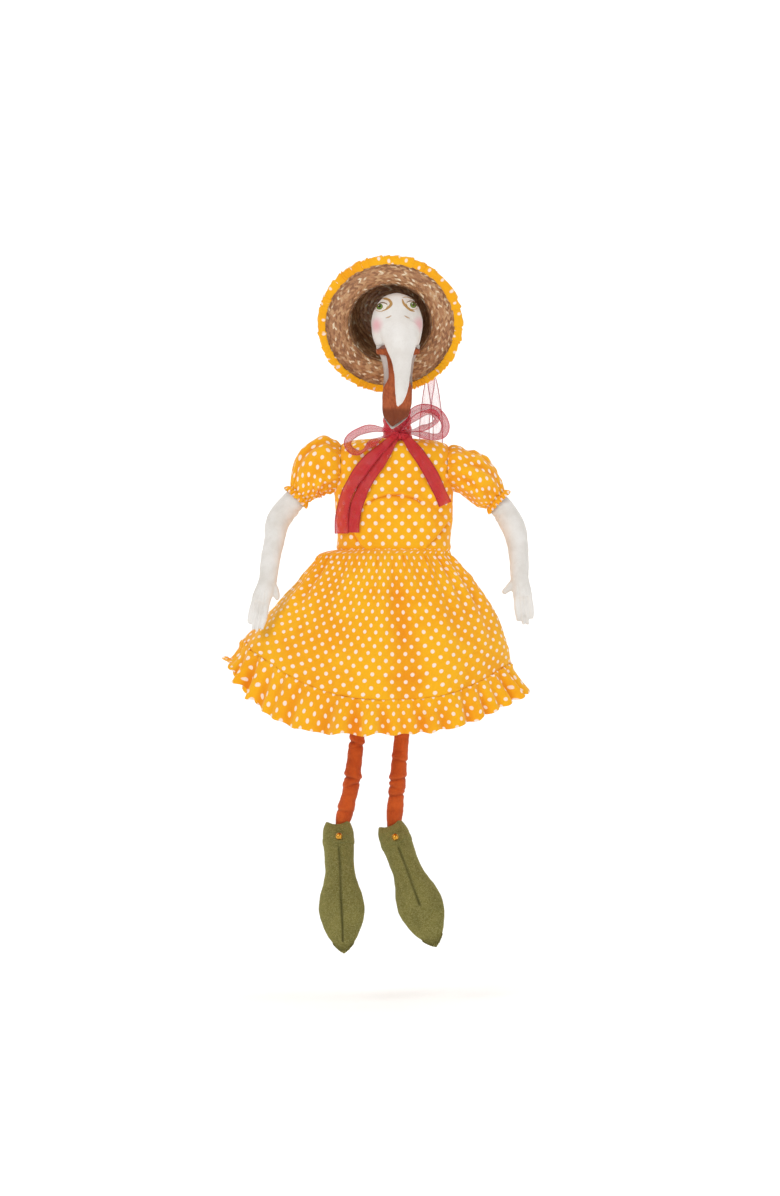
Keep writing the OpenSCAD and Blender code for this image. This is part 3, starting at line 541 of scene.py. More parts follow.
def organza(name, body, edge, cover, edge_cover):
    """Sheer ribbon: u runs from -1 to 1 across it, v along it in metres."""
    s = Shader(name, Roughness=0.42)
    s.bsdf.inputs["Sheen Weight"].default_value = 0.25
    s.bsdf.inputs["Specular IOR Level"].default_value = 0.4
    uv = s.uv()
    across = s.math("ABSOLUTE", s.add("SeparateXYZ", {0: uv}, out=0))
    selvedge = s.fade(across, 0.80, 0.90)
    warp = s.noise(s.scaled(uv, (70, 900, 1)), 1.0, 2.0)
    weft = s.noise(s.scaled(uv, (9, 4200, 1)), 1.0, 1.0)
    base = s.colour(s.fade(warp, 0.35, 0.7), srgb(body[0]), srgb(body[1]))
    base = s.colour(selvedge, base, srgb(edge))
    folds = s.noise(s.scaled(uv, (2.0, 60, 1)), 1.0, 2.0)
    film = s.math("ADD", cover, s.math("MULTIPLY", s.math("SUBTRACT", folds, 0.5), 0.35))
    film = s.math("ADD", film, s.math("MULTIPLY", s.math("SUBTRACT", weft, 0.5), 0.12))
    alpha = s.math("MAXIMUM", film, s.math("MULTIPLY", selvedge, edge_cover), clamp=True)
    s.set(Base_Color=base, Alpha=alpha, Normal=s.bump(s.math("ADD", warp, weft), 0.15, 0.0002))
    return s.mat


def straw_shader(name, painted_shade):
    """Plaited straw: each strand's own tone is in the mesh's strand attribute, and the palest strands are
    painted highlights.
    """
    s = Shader(name, Roughness=0.42)
    s.bsdf.inputs["Specular IOR Level"].default_value = 0.6
    s.bsdf.inputs["Coat Weight"].default_value = 0.15
    s.bsdf.inputs["Coat Roughness"].default_value = 0.3
    tone = s.add("Attribute", out="Fac", attribute_name="strand")
    deep = s.add("Attribute", out="Fac", attribute_name="depth")
    base = s.colour(s.fade(tone, 0.0, 0.55), srgb("925F38"), srgb("B98254"))
    base = s.colour(s.fade(tone, 0.55, 0.8), base, srgb("CDA072"))
    # Painted highlight: the palest strands turn cream, standing in for glints on the straw
    base = s.colour(s.fade(tone, 0.88, 0.97), base, srgb("F0DDBF"))
    p = s.object()
    grain = s.noise(s.scaled(p, (1500, 1500, 1500)), 1.0, 2.0)
    base = s.colour(s.math("MULTIPLY", s.fade(grain, 0.45, 0.75), 0.35), base, srgb("7A4C28"))
    # Painted shade: darker in the low gaps between the plaited strands
    base = s.colour(s.fade(deep, 0.0, 0.45, 0.85, 0.0), base, srgb("4A2C16"))
    # Painted shade: the straw is darkened by this share, standing in for the shade inside the crown
    base = s.colour(painted_shade, base, srgb("2E1A0C"))
    s.set(Base_Color=base, Normal=s.bump(grain, 0.2, 0.0003),
          Roughness=s.fade(grain, 0.3, 0.7, 0.36, 0.58))
    return s.mat


def thread_shader(name, code):
    s = Shader(name, Roughness=0.7)
    twist = s.add("TexWave", {"Vector": s.scaled(s.object(), (1, 1, 1)), "Scale": 900.0, "Distortion": 0.6},
                  wave_type="BANDS", bands_direction="DIAGONAL")
    s.set(Base_Color=s.colour(twist, srgb(code), srgb("B9AFA2")), Normal=s.bump(twist, 0.4, 0.0002))
    return s.mat


def wood_shader():
    s = Shader("dowel_beech", Roughness=0.6)
    p = s.object()
    grain = s.noise(s.scaled(p, (900, 900, 40)), 1.0, 4.0)
    s.set(Base_Color=s.colour(grain, srgb("D9B98A"), srgb("B98F5C")), Normal=s.bump(grain, 0.2, 0.0002))
    return s.mat


def gold_shader():
    s = Shader("gold_bead", Metallic=1.0)
    p = s.object()
    haze = s.noise(p, 420.0, 3.0)
    s.set(Base_Color=s.colour(haze, srgb("E9B24A"), srgb("B87A22")),
          Roughness=s.fade(haze, 0.3, 0.7, 0.14, 0.3),
          Normal=s.bump(haze, 0.05, 0.0001))
    return s.mat


MAT = {
    "bodice": dotted_cotton("dress_bodice", True, 0.0096),
    "skirt": dotted_cotton("dress_skirt", True, 0.0101),
    "binding": dotted_cotton("dress_binding", True, 0.0125, 0.0036),
    "arms": linen("arm_linen", light="ECE8E3", shade="DAD4CC"),
    "body": linen("body_calico", light="E6E0D6", shade="D0C8BA"),
    "head": painted_head(),
    "jaw": linen("jaw_linen", light="EFEBE5", shade="DDD6CD"),
    "lining": brown_cotton(),
    "legs": orange_cotton(),
    "felt": olive_felt(),
    "tail": organza("ribbon_organza", ("CE1A2C", "DE2C3A"), "B4101F", 0.62, 0.95),
    "loop": organza("loop_organza", ("D0183A", "DE3656"), "B80E2A", 0.46, 0.97),
    "sheer": organza("sheer_organza", ("E0607C", "EA8CA0"), "B82C48", 0.13, 0.85),
    "knot": organza("knot_organza", ("C4142C", "D62438"), "A8101F", 0.98, 1.0),
    "straw": straw_shader("plaited_straw", 0.0),
    # The crown's straw: a darker copy with painted shade inside the crown
    "crown_straw_painted_shade": straw_shader("crown_straw_painted_shade", 0.45),
    "thread": thread_shader("sewing_thread", "EDE7DC"),
    "wood": wood_shader(),
    "gold": gold_shader(),
    "eye_white": paint("eye_white", "F7F3EA", "E9E4D6"),
    "iris": paint("iris_green", "4E7A2C", "86A845", 0.3, 0.6),
    "pupil": paint("pupil_black", "101410", "20261A", 0.25, 0.7),
    "glint": paint("glint_white", "FFFFFF", "F4F6F0", 0.3, 0.3),
    "ochre": paint("lid_ochre", "A97B3E", "C39A5C", 0.6, 0.1),
    "line": paint("brow_line", "6B4A2A", "8A6238", 0.6, 0.1),
    "nostril": paint("nostril_tan", "B8936E", "CBB195", 0.7, 0.05),
}

# ---------------------------------------------------------------- dress

BODY_X = -1.0
NECK_X = 2.0
ARM_Z = -66.0
SHOULDER_X = 59.5
WAIST_Z = -152.0
TORSO_W, TORSO_D, WAIST_W = 119.0, 66.0, 109.0
BODICE = np.array([  # height, half width, half depth
    [-38.5, 15, 15], [-40, 39.3, 19.8], [-44, 51.8, 25.7], [-50, 56.5, 29.0], [-60, 58.9, 31.4],
    [-90, 59.4, 33.0], [-120.6, 58.0, 33.7], [-138, 56.4, 33.2], [-151, 54.7, 32.4], [-153.5, 53.6, 31.6]])


def bodice_front(x, z):
    w = np.interp(-z, -BODICE[:, 0], BODICE[:, 1])
    d = np.interp(-z, -BODICE[:, 0], BODICE[:, 2])
    return -d * np.maximum(0, 1 - np.minimum(1, np.abs(x - BODY_X) / w) ** 2.5) ** 0.4


def make_bodice():
    rows, cols = 190, 340
    at = np.r_[0, np.cumsum(np.linalg.norm(np.diff(BODICE, axis=0), axis=1))]
    fine = np.array([np.interp(np.linspace(0, at[-1], rows), at, BODICE[:, k]) for k in range(3)]).T
    for _ in range(6):
        fine[1:-1] = (fine[:-2] + fine[1:-1] * 2 + fine[2:]) / 4
    t = np.linspace(0, 2 * math.pi, cols, endpoint=False)
    c, s = spow(np.cos(t), 0.8), spow(np.sin(t), 0.8)
    p = np.stack([BODY_X + fine[:, 1, None] * c, fine[:, 2, None] * s,
                  np.repeat(fine[:, 0, None], cols, 1)], -1)
    out = unit(np.stack([np.cos(t) * np.ones((rows, 1)), 1.5 * np.sin(t) * np.ones((rows, 1)),
                         0 * p[..., 0]], -1))
    x, z = p[..., 0], p[..., 2]
    front = smooth01(-p[..., 1] / 12)
    low = smooth01((-60 - z) / 20)
    move = 0.55 * ripple(x, z, 3, 26) * low + 0.3 * ripple(p[..., 0] + p[..., 1], z, 4, 11) * low
    move += front * crease(x, z, [(-30, -105), (-20, -99.5), (-7, -96), (6, -96), (21, -99.5),
                                  (26, -103)], 2.2, 1.3)
    move += front * crease(x, z, [(-42, -134), (-35, -146), (-27, -153)], 1.7, 1.2)
    move += front * crease(x, z, [(54, -122), (44, -136), (32, -147)], 1.7, 1.2)
    move += front * crease(x, z, [(-52, -92), (-40, -110), (-34, -122)], 0.7, 2.0)
    move += front * crease(x, z, [(34, -100), (44, -112), (52, -118)], 0.8, 1.8)
    d, _ = line_distance(x, z, [(-4.2, -42), (-4.0, -72)])
    move -= front * 0.8 * bell(d, 0.8)
    # Armhole gathers, and the soft roll of cloth over the waist seam
    side = smooth01((np.abs(x - BODY_X) - 42) / 16)
    move += side * 0.7 * np.sin(z / 1.55 + 2 * np.sin(p[..., 1] / 5)) * smooth01((z + 100) / 20)
    move += 1.6 * bell(z + 147, 5) - 1.0 * bell(z + 153, 2)
    angle = np.arctan2(p[..., 1], p[..., 0])
    move += 0.5 * wavy(angle, (31, 43, 57), 5) * bell(z + 150, 7)
    p += out * move[..., None]
    long = np.linspace(0, at[-1], rows)
    uv = np.stack([np.tile(around(p[rows // 2]), (rows, 1)), np.tile(long[:, None], (1, cols + 1))],
                  -1) * MM
    obj = grid("bodice_cloth", p, MAT["bodice"], uv=uv, thick=0.5)
    # Painted shade in the hollows of the bodice's creases and gathers
    tint_hollows(obj, move, 2.2)
    dressed(obj, "torso", ["bodice"])
    return obj


make_bodice()

SKIRT_X = -3.0
HEM = (150.0, 119.0)
SEAM_Z = WAIST_Z - 146
BULGE = (0.68 * WAIST_W, 0.55 * WAIST_W, 0.66 * TORSO_D)
HEM_D = 84.0


def reach(c):
    return np.where(c < 0, HEM[0], HEM[1])


def seam_height(x):
    return SEAM_Z + np.where(x < 0, 0.40, 0.25) * 146 * np.minimum(1, np.abs(x) / reach(x)) ** 2.4


def hem_height(x):
    r = reach(x) + 18
    return (SEAM_Z - 34 + np.where(x < 0, 75, 42)
            * np.minimum(1, np.abs(x) / r) ** np.where(x < 0, 4.5, 2.2))


def skirt_surface(t, s):
    """A point of the plain skirt at an angle and a share of the way down, from 0 at the gathers."""
    c, sn = np.cos(t), np.sin(t)
    half = np.where(c < 0, mix(BULGE[0], HEM[0], s ** 1.1), mix(BULGE[1], HEM[1], 1 - (1 - s) ** 1.8))
    depth = mix(BULGE[2], HEM_D, s ** 0.8)
    z = mix(WAIST_Z - 3, seam_height(reach(c) * c), s)
    return np.stack([SKIRT_X + half * c, depth * sn, z], -1)


def waist_point(t, inset=0.0):
    c, s = spow(np.cos(t), 0.8), spow(np.sin(t), 0.8)
    return np.stack([BODY_X + (56.3 - inset) * c, (34.1 - inset) * s, np.full(t.shape, WAIST_Z + 3.0)], -1)


def skirt_folds(t, s):
    """How far the cloth stands out from the plain skirt: gathers at the top, broad folds below."""
    lean = t + 0.05 * np.sin(3 * t + 2) * s
    fine = wavy(lean, (67, 83, 101), 11) * 1.5 + wavy(lean, (37, 47), 12) * 0.9
    middle = wavy(lean, (17, 23, 29), 13)
    broad = wavy(lean, (7, 9, 12), 14)
    gather = 1.5 * fine * np.exp(-s / 0.16) * smooth01(s / 0.02 + 0.25)
    return gather + 3.0 * middle * np.exp(-((s - 0.25) / 0.3) ** 2) + 4.2 * broad * smooth01(s / 0.6)


def make_skirt():
    rows, cols = 150, 760
    t = np.linspace(0, 2 * math.pi, cols, endpoint=False)[None, :]
    v = np.linspace(0, 1, rows)[:, None] ** 1.15
    head_rows = 0.07
    s = np.clip((v - head_rows) / (1 - head_rows), 0, 1) * np.ones_like(t)
    tt = t * np.ones_like(v)
    p = skirt_surface(tt, s)
    top = smooth01(np.clip(v / head_rows, 0, 1)) * np.ones_like(t)
    rise = np.sqrt(np.clip(v / head_rows, 0, 1)) * np.ones_like(t)
    waist = waist_point(tt)
    above = np.stack([mix(waist[..., 0], p[..., 0], top), mix(waist[..., 1], p[..., 1], top),
                      mix(waist[..., 2], p[..., 2], rise ** 2.5)], -1)
    p = np.where((v < head_rows)[..., None] * np.ones_like(p, bool), above, p)
    out = unit(np.stack([np.cos(tt), 1.3 * np.sin(tt), 0.12 * np.ones_like(tt)], -1))
    move = skirt_folds(tt, s) * smooth01(v / 0.05 + 0.12)
    x, z = p[..., 0], p[..., 2]
    front = smooth01(-p[..., 1] / 20)
    # The soft horizontal sag under the lap, and the pull lines beside the hands
    move += front * crease(x, z, [(-70, -262), (-40, -272), (0, -276), (40, -270), (66, -258)], 1.0, 4.5)
    move += front * crease(x, z, [(-38, -188), (10, -196), (52, -206)], 0.8, 3.0)
    move += (0.8 * ripple(x, z, 21, 17, 2.2) + 0.4 * ripple(x, z, 24, 8)) * smooth01(s / 0.1)
    p += out * (move - 1.0)[..., None]
    p[..., 2] += 0.8 * ripple(x, p[..., 1], 22, 24) * bell(v - 0.02, 0.05)
    drop = np.r_[0, np.cumsum(np.linalg.norm(np.diff(p[:, 3 * cols // 4], axis=0), axis=1))]
    ring = skirt_surface(np.linspace(0, 2 * math.pi, cols + 1), np.ones(cols + 1))
    run = np.r_[0, np.cumsum(np.linalg.norm(np.diff(ring[:, :2], axis=0), axis=1))]
    uv = np.stack([np.tile(run, (rows, 1)), np.tile(drop[:, None], (1, cols + 1))], -1) * MM
    obj = grid("skirt_cloth", p, MAT["skirt"], uv=uv, thick=0.5)
    # Painted shade in the hollows of the skirt's folds
    tint_hollows(obj, move, 7.0)
    dressed(obj, "torso", ["skirt"])
    return obj


make_skirt()


def make_ruffle():
    rows, cols = 46, 900
    t = np.linspace(0, 2 * math.pi, cols, endpoint=False)[None, :]
    s = np.linspace(0, 1, rows)[:, None]
    tt, ss = t * np.ones_like(s), s * np.ones_like(t)
    c = np.cos(tt)
    x = (reach(c) + 18 * ss) * c
    y = (HEM_D + 18 * ss * 0.55) * np.sin(tt)
    z = mix(seam_height(x), hem_height(x), ss)
    p = np.stack([SKIRT_X + x, y, z], -1)
    out = unit(np.stack([np.cos(tt), 1.4 * np.sin(tt), -0.1 * np.ones_like(tt)], -1))
    lean = tt + 0.03 * np.sin(5 * tt) * ss
    pleats = wavy(lean, (29, 37, 43), 31)
    teeth = wavy(lean, (31, 47, 59), 32)
    open_up = smooth01(ss * 1.2)
    shape = mix(1.6, 6.4, open_up) * np.tanh(1.4 * pleats) + 0.8 * teeth
    shape += 1.6 * wavy(lean, (71, 89, 103), 33) * np.exp(-ss / 0.18)
    move = shape + skirt_folds(tt, np.ones_like(tt)) - 1.0 + 1.2 * bell(ss - 0.06, 0.05)
    p += out * move[..., None]
    p[..., 2] += open_up * (2.2 * np.roll(pleats, 6, 1) + 0.6 * teeth)
    ring = skirt_surface(np.linspace(0, 2 * math.pi, cols + 1), np.ones(cols + 1))
    run = 1.45 * np.r_[0, np.cumsum(np.linalg.norm(np.diff(ring[:, :2], axis=0), axis=1))]
    drop = np.linspace(0, 36, rows)
    uv = np.stack([np.tile(run, (rows, 1)), np.tile(drop[:, None], (1, cols + 1))], -1) * MM
    obj = grid("ruffle_cloth", p, MAT["skirt"], uv=uv, thick=0.5)
    # Painted shade between the ruffle's pleats
    tint_hollows(obj, shape, 5.0)
    dressed(obj, "torso", ["skirt_ruffle"])
    return obj


make_ruffle()

# ---------------------------------------------------------------- sleeves and arms

SLEEVES = {  # outwards, down, tilt, half height share, half depth
    "right": [[-6, 1, 0, 0.43, 18.5], [-2, 0, 0, 0.485, 23.5], [1, 0, 0, 0.5, 25.5],
              [7, -1.5, 3, 0.55, 28], [17, 2, 12, 0.53, 29.5], [25, 9, 26, 0.47, 27],
              [31, 20, 42, 0.33, 20], [34.5, 27.5, 48, 0.24, 13.6]],
    "left": [[-6, 3, 0, 0.38, 18.5], [-2, 2, 0, 0.42, 23], [1, 2, 0, 0.435, 25], [9, 5, 6, 0.43, 27],
             [21, 11, 13, 0.45, 29], [31, 19, 21, 0.42, 27],
             [37, 26, 31, 0.335, 20], [41.5, 32.5, 43, 0.24, 13.6]],
}
ROUTES = {  # outwards, down, forwards, half width, half thickness
    "right": [[2, 0, 0, 11, 11], [12, 1.5, 0, 12, 12], [24, 11, 0, 11.5, 11.5], [35, 28, 0, 10.6, 10.6],
              [46, 41, 3, 11.8, 11.8], [55.5, 54, 9, 12, 12], [60, 77, 20, 10, 10], [64, 98, 30, 9.5, 9.3],
              [66, 116, 37, 9, 8], [69.5, 126, 40, 9.4, 6.6], [73, 137, 43, 9.4, 5.4]],
    "left": [[2, 3, 0, 11, 11], [12, 5, 0, 12, 12], [27, 15, 0, 11.5, 11.5], [41.5, 33, 0, 10.6, 10.6],
             [51, 46, 3, 11.8, 11.8], [59, 60, 8, 12, 12], [64, 82, 17, 10.2, 10.2],
             [65, 100, 25, 9.5, 9.3],
             [65.5, 114, 30, 9, 8], [67, 122, 32, 9.2, 6.6], [68.5, 132, 34, 9.4, 5.4]],
}
SIDE = {"right": -1, "left": 1}


def side_x(side):
    return BODY_X + SIDE[side] * SHOULDER_X


def sleeve_rings(side, stations, cols, power=1 / 1.1):
    sg = SIDE[side]
    t = np.linspace(0, 2 * math.pi, cols, endpoint=False)
    rings = []
    for out, down, tilt, high, deep in stations:
        a = math.radians(tilt)
        c = np.array([side_x(side) + sg * out, 0, ARM_Z - down])
        d = np.array([sg * math.cos(a), 0, -math.sin(a)])
        u = unit(np.cross(Y, d))
        v = np.cross(d, u)
        rings.append(c + np.outer(spow(np.cos(t), power), u) * high * 54
                     + np.outer(spow(np.sin(t), power), v) * deep)
    return np.array(rings), t


def make_sleeve(side):
    rows, cols = 110, 300
    stations = resample(SLEEVES[side], rows)
    p, t = sleeve_rings(side, stations, cols)
    v = np.linspace(0, 1, rows)[:, None]
    tt = t[None, :] * np.ones_like(v)
    middle = p.mean(1, keepdims=True)
    out = unit(p - middle)
    seed = 40 if side == "right" else 60
    root = np.exp(-v / 0.14)
    cuff = np.exp(-(1 - v) / 0.2)
    body = 1 - np.maximum(root, cuff)
    lean = tt + 0.25 * v * np.sin(2 * tt)
    move = 1.1 * wavy(lean, (29, 37, 43), seed) * root
    move += 2.3 * wavy(lean, (19, 23, 27), seed + 1) * cuff
    move += 2.6 * wavy(lean + 0.5 * v, (7, 9, 12), seed + 2) * body
    along = v * 60
    around = tt * 24
    move += (1.0 - 0.5 * cuff) * 1.3 * ripple(around, along, seed + 3, 17, 1.6) * body
    # Pinched folds on the side towards the bodice
    inner = smooth01((-np.cos(tt) - 0.2) / 0.5)
    move += -1.6 * inner * np.abs(np.sin(5.5 * v * math.pi + 1.5 * np.sin(3 * tt))) * body
    move -= 0.9
    move *= smooth01(v / 0.02 + 0.2)
    p = p + out * move[..., None]
    run = np.linspace(0, 190, cols + 1)
    drop = np.r_[0, np.cumsum(np.linalg.norm(np.diff(stations[:, :2], axis=0), axis=1))] * 1.15
    uv = np.stack([np.tile(run, (rows, 1)), np.tile(drop[:, None], (1, cols + 1))], -1) * MM
    obj = grid(side + "_sleeve_cloth", p, MAT["bodice"], uv=uv, thick=0.5, flip=side == "right")
    # Painted shade in the hollows of the sleeve's folds
    tint_hollows(obj, move + 0.6, 3.6)
    dressed(obj, side + "_arm", [side + "_sleeve"])

    # The elastic's channel and the frill below it
    rows = 26
    last = np.array(SLEEVES[side][-1], float)
    ring, _ = sleeve_rings(side, [last], cols)
    a = math.radians(last[2])
    d = np.array([SIDE[side] * math.cos(a), 0, -math.sin(a)])
    middle = ring[0].mean(0)
    out = unit(ring[0] - middle)
    s = np.linspace(0, 1, rows)[:, None]
    waves = wavy(t, (17, 21, 26), seed + 5)[None, :]
    fine = wavy(t, (33, 39, 47), seed + 6)[None, :]
    move = 1.0 * fine + 2.3 * waves * smooth01(s * 1.3) + 1.4 * smooth01(s) - 0.9 * bell(s - 0.12,
                                                                                         0.1) - 0.4
    reach_out = 0.2 + 6.6 * s + 1.1 * np.roll(waves, 5, 1) * s + 0.5 * fine * s
    q = ring[0][None] + d * reach_out[..., None] + out[None] * move[..., None]
    uv = np.stack([np.tile(run, (rows, 1)), np.tile(np.linspace(0, 8, rows)[:, None], (1, cols + 1))],
                  -1) * MM
    frill = grid(side + "_cuff_frill", q, MAT["bodice"], uv=uv, thick=0.4, flip=side == "right")
    dressed(frill, side + "_arm", [side + "_cuff"])


def skirt_front(x, z):
    best = 0.0
    for s in np.arange(0, 1.0001, 0.05):
        cx = x - SKIRT_X
        half = float(mix(BULGE[0], HEM[0], s ** 1.1) if cx < 0 else mix(BULGE[1], HEM[1],
                                                                        1 - (1 - s) ** 1.8))
        c = cx / half
        if abs(c) < 1:
            zz = float(mix(WAIST_Z - 3, seam_height(np.array(reach(np.array(c)) * c)), s))
            if abs(zz - z) < 12:
                best = min(best, -float(mix(BULGE[2], HEM_D, s ** 0.8)) * math.sqrt(1 - c * c))
    return best


def arm_point(side, r):
    x, z = side_x(side) + SIDE[side] * r[0], ARM_Z - r[1]
    y = min(-r[2], skirt_front(x, z) - 8 if r[1] > 100 else 0)
    return np.array([x, y, z])


def capsule(points, radii, cols=14, n=16, flat=1.0):
    rows = [[*p, r, r * flat] for p, r in zip(points, radii)]
    rings, *_ = limb(rows, n, cols)
    ends = [rings[0].mean(0) + (rings[0] - rings[0].mean(0)) * 0.15,
            rings[-1].mean(0) + (rings[-1] - rings[-1].mean(0)) * 0.15]
    d0 = unit(rings[0].mean(0) - rings[1].mean(0)) * radii[0] * 0.6
    d1 = unit(rings[-1].mean(0) - rings[-2].mean(0)) * radii[-1] * 0.6
    return np.concatenate([[ends[0] + d0], rings, [ends[1] + d1]])


def make_arm(side):
    sg = SIDE[side]
    route = ROUTES[side]
    stations = [[*arm_point(side, r), r[3], r[4]] for r in route]
    rings = limb(stations, 120, 40)[0]
    parts = [grid("arm_tube", rings, MAT["arms"], caps=True)]
    root = np.array(stations[-1][:3])
    down = unit(np.array(stations[-1][:3]) - np.array(stations[-3][:3]))
    down = unit(down * np.array([0.6, 0.35, 1]))
    wide = unit(np.cross(Y, down)) * sg
    wide = wide if wide[0] * sg > 0 else -wide
    # Four fingers, the outermost first
    lengths = (22, 27, 28, 25) if side == "right" else (21, 26, 26, 22)
    for k, long in enumerate(lengths):
        off = (1.5 - k) * 4.1
        spread = (1.5 - k) * 0.7
        a = root + wide * off * 0.92 - down * 5
        b = root + wide * (off + spread) + down * long * 0.55
        c = root + wide * (off + spread * 0.6) + down * long
        parts.append(grid("finger", capsule([a, b, c], [2.9, 2.7, 1.9]), MAT["arms"], caps=True))
    palm_root = np.array(stations[-3][:3])
    inward = -wide
    a = palm_root + inward * 4.5 + down * 1
    b = palm_root + inward * (9.5 if side == "right" else 12) + down * 7
    c = palm_root + inward * (13 if side == "right" else 17.5) + down * (15 if side == "right" else 11)
    parts.append(grid("thumb", capsule([a, b, c], [4.2, 3.7, 2.5]), MAT["arms"], caps=True))
    obj = fuse(side + "_arm_skin", parts, MAT["arms"], 1.15, 5)
    co = coords(obj)
    along = (co - root) @ down
    across = (co - root) @ wide
    move = 0.25 * ripple(co[:, 0], co[:, 2], 70, 18) + 0.14 * ripple(co[:, 0] + co[:, 1], co[:, 2], 71, 7)
    # Stitched lines between the fingers run up over the palm
    for gap in (-4.1, 0.0, 4.1):
        here = bell(across - gap * (0.95 + 0.004 * along), 0.7) * smooth01((along + 15) / 6) * (along < 30)
        move -= 0.9 * here
    # Two folds at the elbow
    elbow = np.array(arm_point(side, route[4]))
    for place, depth, slant in ((0.0, 0.6, 0.3), (7.0, 0.4, -0.2)):
        where = (co - elbow) @ np.array([sg * 0.45 + slant * 0.2, 0, -0.9]) - place
        move -= depth * bell(where, 1.4) * smooth01(((co[:, 0] - elbow[0]) * -sg + 4) / 8)
    swell(obj, move)
    dressed(obj, side + "_arm", [side + "_arm"])


for side in ("right", "left"):
    make_sleeve(side)
    make_arm(side)

# ---------------------------------------------------------------- head, bill and mouth

HEAD_C = np.array([2.0, -2.0, 75.0])
FACE_P = np.array([3.0, -2 - 0.37 * 60, 75 - 16.0])
BILL_DIR = np.array([0, -math.cos(math.radians(56)), -math.sin(math.radians(56))])
JAW_DIR = np.array([0, -math.cos(math.radians(69)), -math.sin(math.radians(69))])
JAW_P = FACE_P + np.array([0, 10, -9.0])
HEAD = [[-29.4, 3, 13.3, 16.8], [-25, 1, 18.4, 21.6], [-16, 0, 23.2, 27], [-4.8, 0, 25.5, 29.7],
        [6.4, 0, 25.2, 30], [16, 0, 22.4, 27.3], [24, 0, 17.3, 21.9], [29.4, 0, 10.2, 13.2],
        [31.9, 0, 2.5, 3]]
UPPER = [[-10, 1.5, 0, 20, 15.5], [0.05, 2, 0, 19.2, 14.5], [15, 2.6, 0, 14.6, 11.5], [30, 3.6, 0, 10.6, 9],
         [49, 4, 0, 8, 7], [66.7, 3.4, 0, 6.7, 5.6], [79, 2, 0, 4.6, 4], [85.5, 0.4, 0, 2.4, 2.4],
         [88.6, -0.8, 0, 0.7, 0.8]]
JAW = [[0, 0, 4.8, 22, 4], [12, 0, 3, 16.8, 8], [24, 0, 0.6, 14.5, 10], [43, -0.5, 0, 14.5, 10],
       [64.5, -1.5, 0, 13.9, 9], [74, -2.5, 0, 11.6, 7], [81.7, -4.5, 0, 5.2, 4], [86, -6, 0, 1, 1.4]]


def swept(origin, direction, stations, outline, n):
    s = resample(stations, n, [r[0] for r in stations])
    up = np.cross(direction, X)
    return (origin + np.outer(s[:, 0], direction) + np.outer(s[:, 1], X) + np.outer(s[:, 2], up))[:, None] \
        + (s[:, 3, None] * outline[:, 0])[..., None] * X + (s[:, 4, None] * outline[:, 1])[...,
                                                                                           None] * up, s


def make_head():
    h = resample(HEAD, 60, [r[0] for r in HEAD])
    t = np.linspace(0, 2 * math.pi, 64, endpoint=False)
    skull = np.stack([HEAD_C[0] + h[:, 2, None] * np.cos(t),
                      HEAD_C[1] + h[:, 1, None] + h[:, 3, None] * np.sin(t),
                      np.repeat(HEAD_C[2] + h[:, 0, None], 64, 1)], -1)
    # The face is cut back along its seam plane, where the throat opens
    below = (skull - FACE_P) @ BILL_DIR
    skull = skull - np.maximum(0, below - 0.5)[..., None] * BILL_DIR
    oval = np.stack([np.cos(t), np.sin(t)], -1)
    bill, _ = swept(FACE_P + np.array([0, -3.5, 4]), BILL_DIR, UPPER, oval, 90)
    # A brow bridge that lets the bill flow out of the forehead
    bridge = capsule([HEAD_C + np.array([1.0, -14, 12]), HEAD_C + np.array([1.3, -19, 0]),
                      FACE_P + np.array([2, -12, -1]), FACE_P + np.array([3, -17, -14])],
                     [15, 14.5, 12.5, 10.5], 40, 30)
    parts = [grid("skull", skull, MAT["head"], caps=True), grid("bill", bill, MAT["head"], caps=True),
             grid("bridge", bridge, MAT["head"], caps=True)]
    obj = fuse("head_skin", parts, MAT["head"], 1.5, 14)
    co = coords(obj)
    move = 0.28 * ripple(co[:, 0], co[:, 2], 80, 22) + 0.12 * ripple(co[:, 0] + co[:, 1], co[:, 2], 81, 8)
    # Eye sockets
    for cx, cz in ((-14.5, 92), (18.5, 93)):
        move -= 1.3 * bell(np.hypot(co[:, 0] - cx, co[:, 2] - cz), 6.5) * (co[:, 1] < -8)
    swell(obj, move)
    dressed(obj, "head", ["head", "upper_bill"])
    return obj


head_skin = make_head()
head_tree = BVHTree.FromPolygons([v.co for v in head_skin.data.vertices],
                                 [p.vertices[:] for p in head_skin.data.polygons])


def on_face(x, z, lift):
    hit, normal, _, _ = head_tree.ray_cast(Vector((x * MM, -0.2, z * MM)), Vector((0, 1, 0)))
    if hit is None:
        hit, normal, _, _ = head_tree.find_nearest(Vector((x * MM, -0.03, z * MM)))
    return np.array(hit) / MM + np.array(normal) * lift


def patch(name, outline, mat, lift, rings=7):
    """A painted shape of the face, given by its outline seen from the front."""
    outline = np.array(outline, float)
    centre = outline.mean(0)
    rows = []
    for k in range(rings):
        f = (k + 0.02) / (rings - 1 + 0.02)
        edge = 0.05 if k == rings - 1 else lift
        rows.append([on_face(*(centre + (o - centre) * f), edge) for o in outline])
    obj = grid(name, np.array(rows), MAT[mat])
    dressed(obj, "head")
    return obj


def stroke(name, line, widths, mat, lift=0.14):
    """A tapering brush stroke along points seen from the front."""
    rows = resample([[*p, w] for p, w in zip(line, widths)], 24)
    d = unit(np.gradient(rows[:, :2], axis=0))
    across = np.stack([-d[:, 1], d[:, 0]], -1)
    mesh = []
    for r, a in zip(rows, across):
        mesh.append([on_face(*(r[:2] + a * r[2] * k), lift if abs(k) < 0.9 else 0.02) for k in (-1, -0.5,
                                                                                                0, 0.5, 1)])
    obj = grid(name, np.array(mesh), MAT[mat], wrap=False)
    dressed(obj, "head")
    return obj


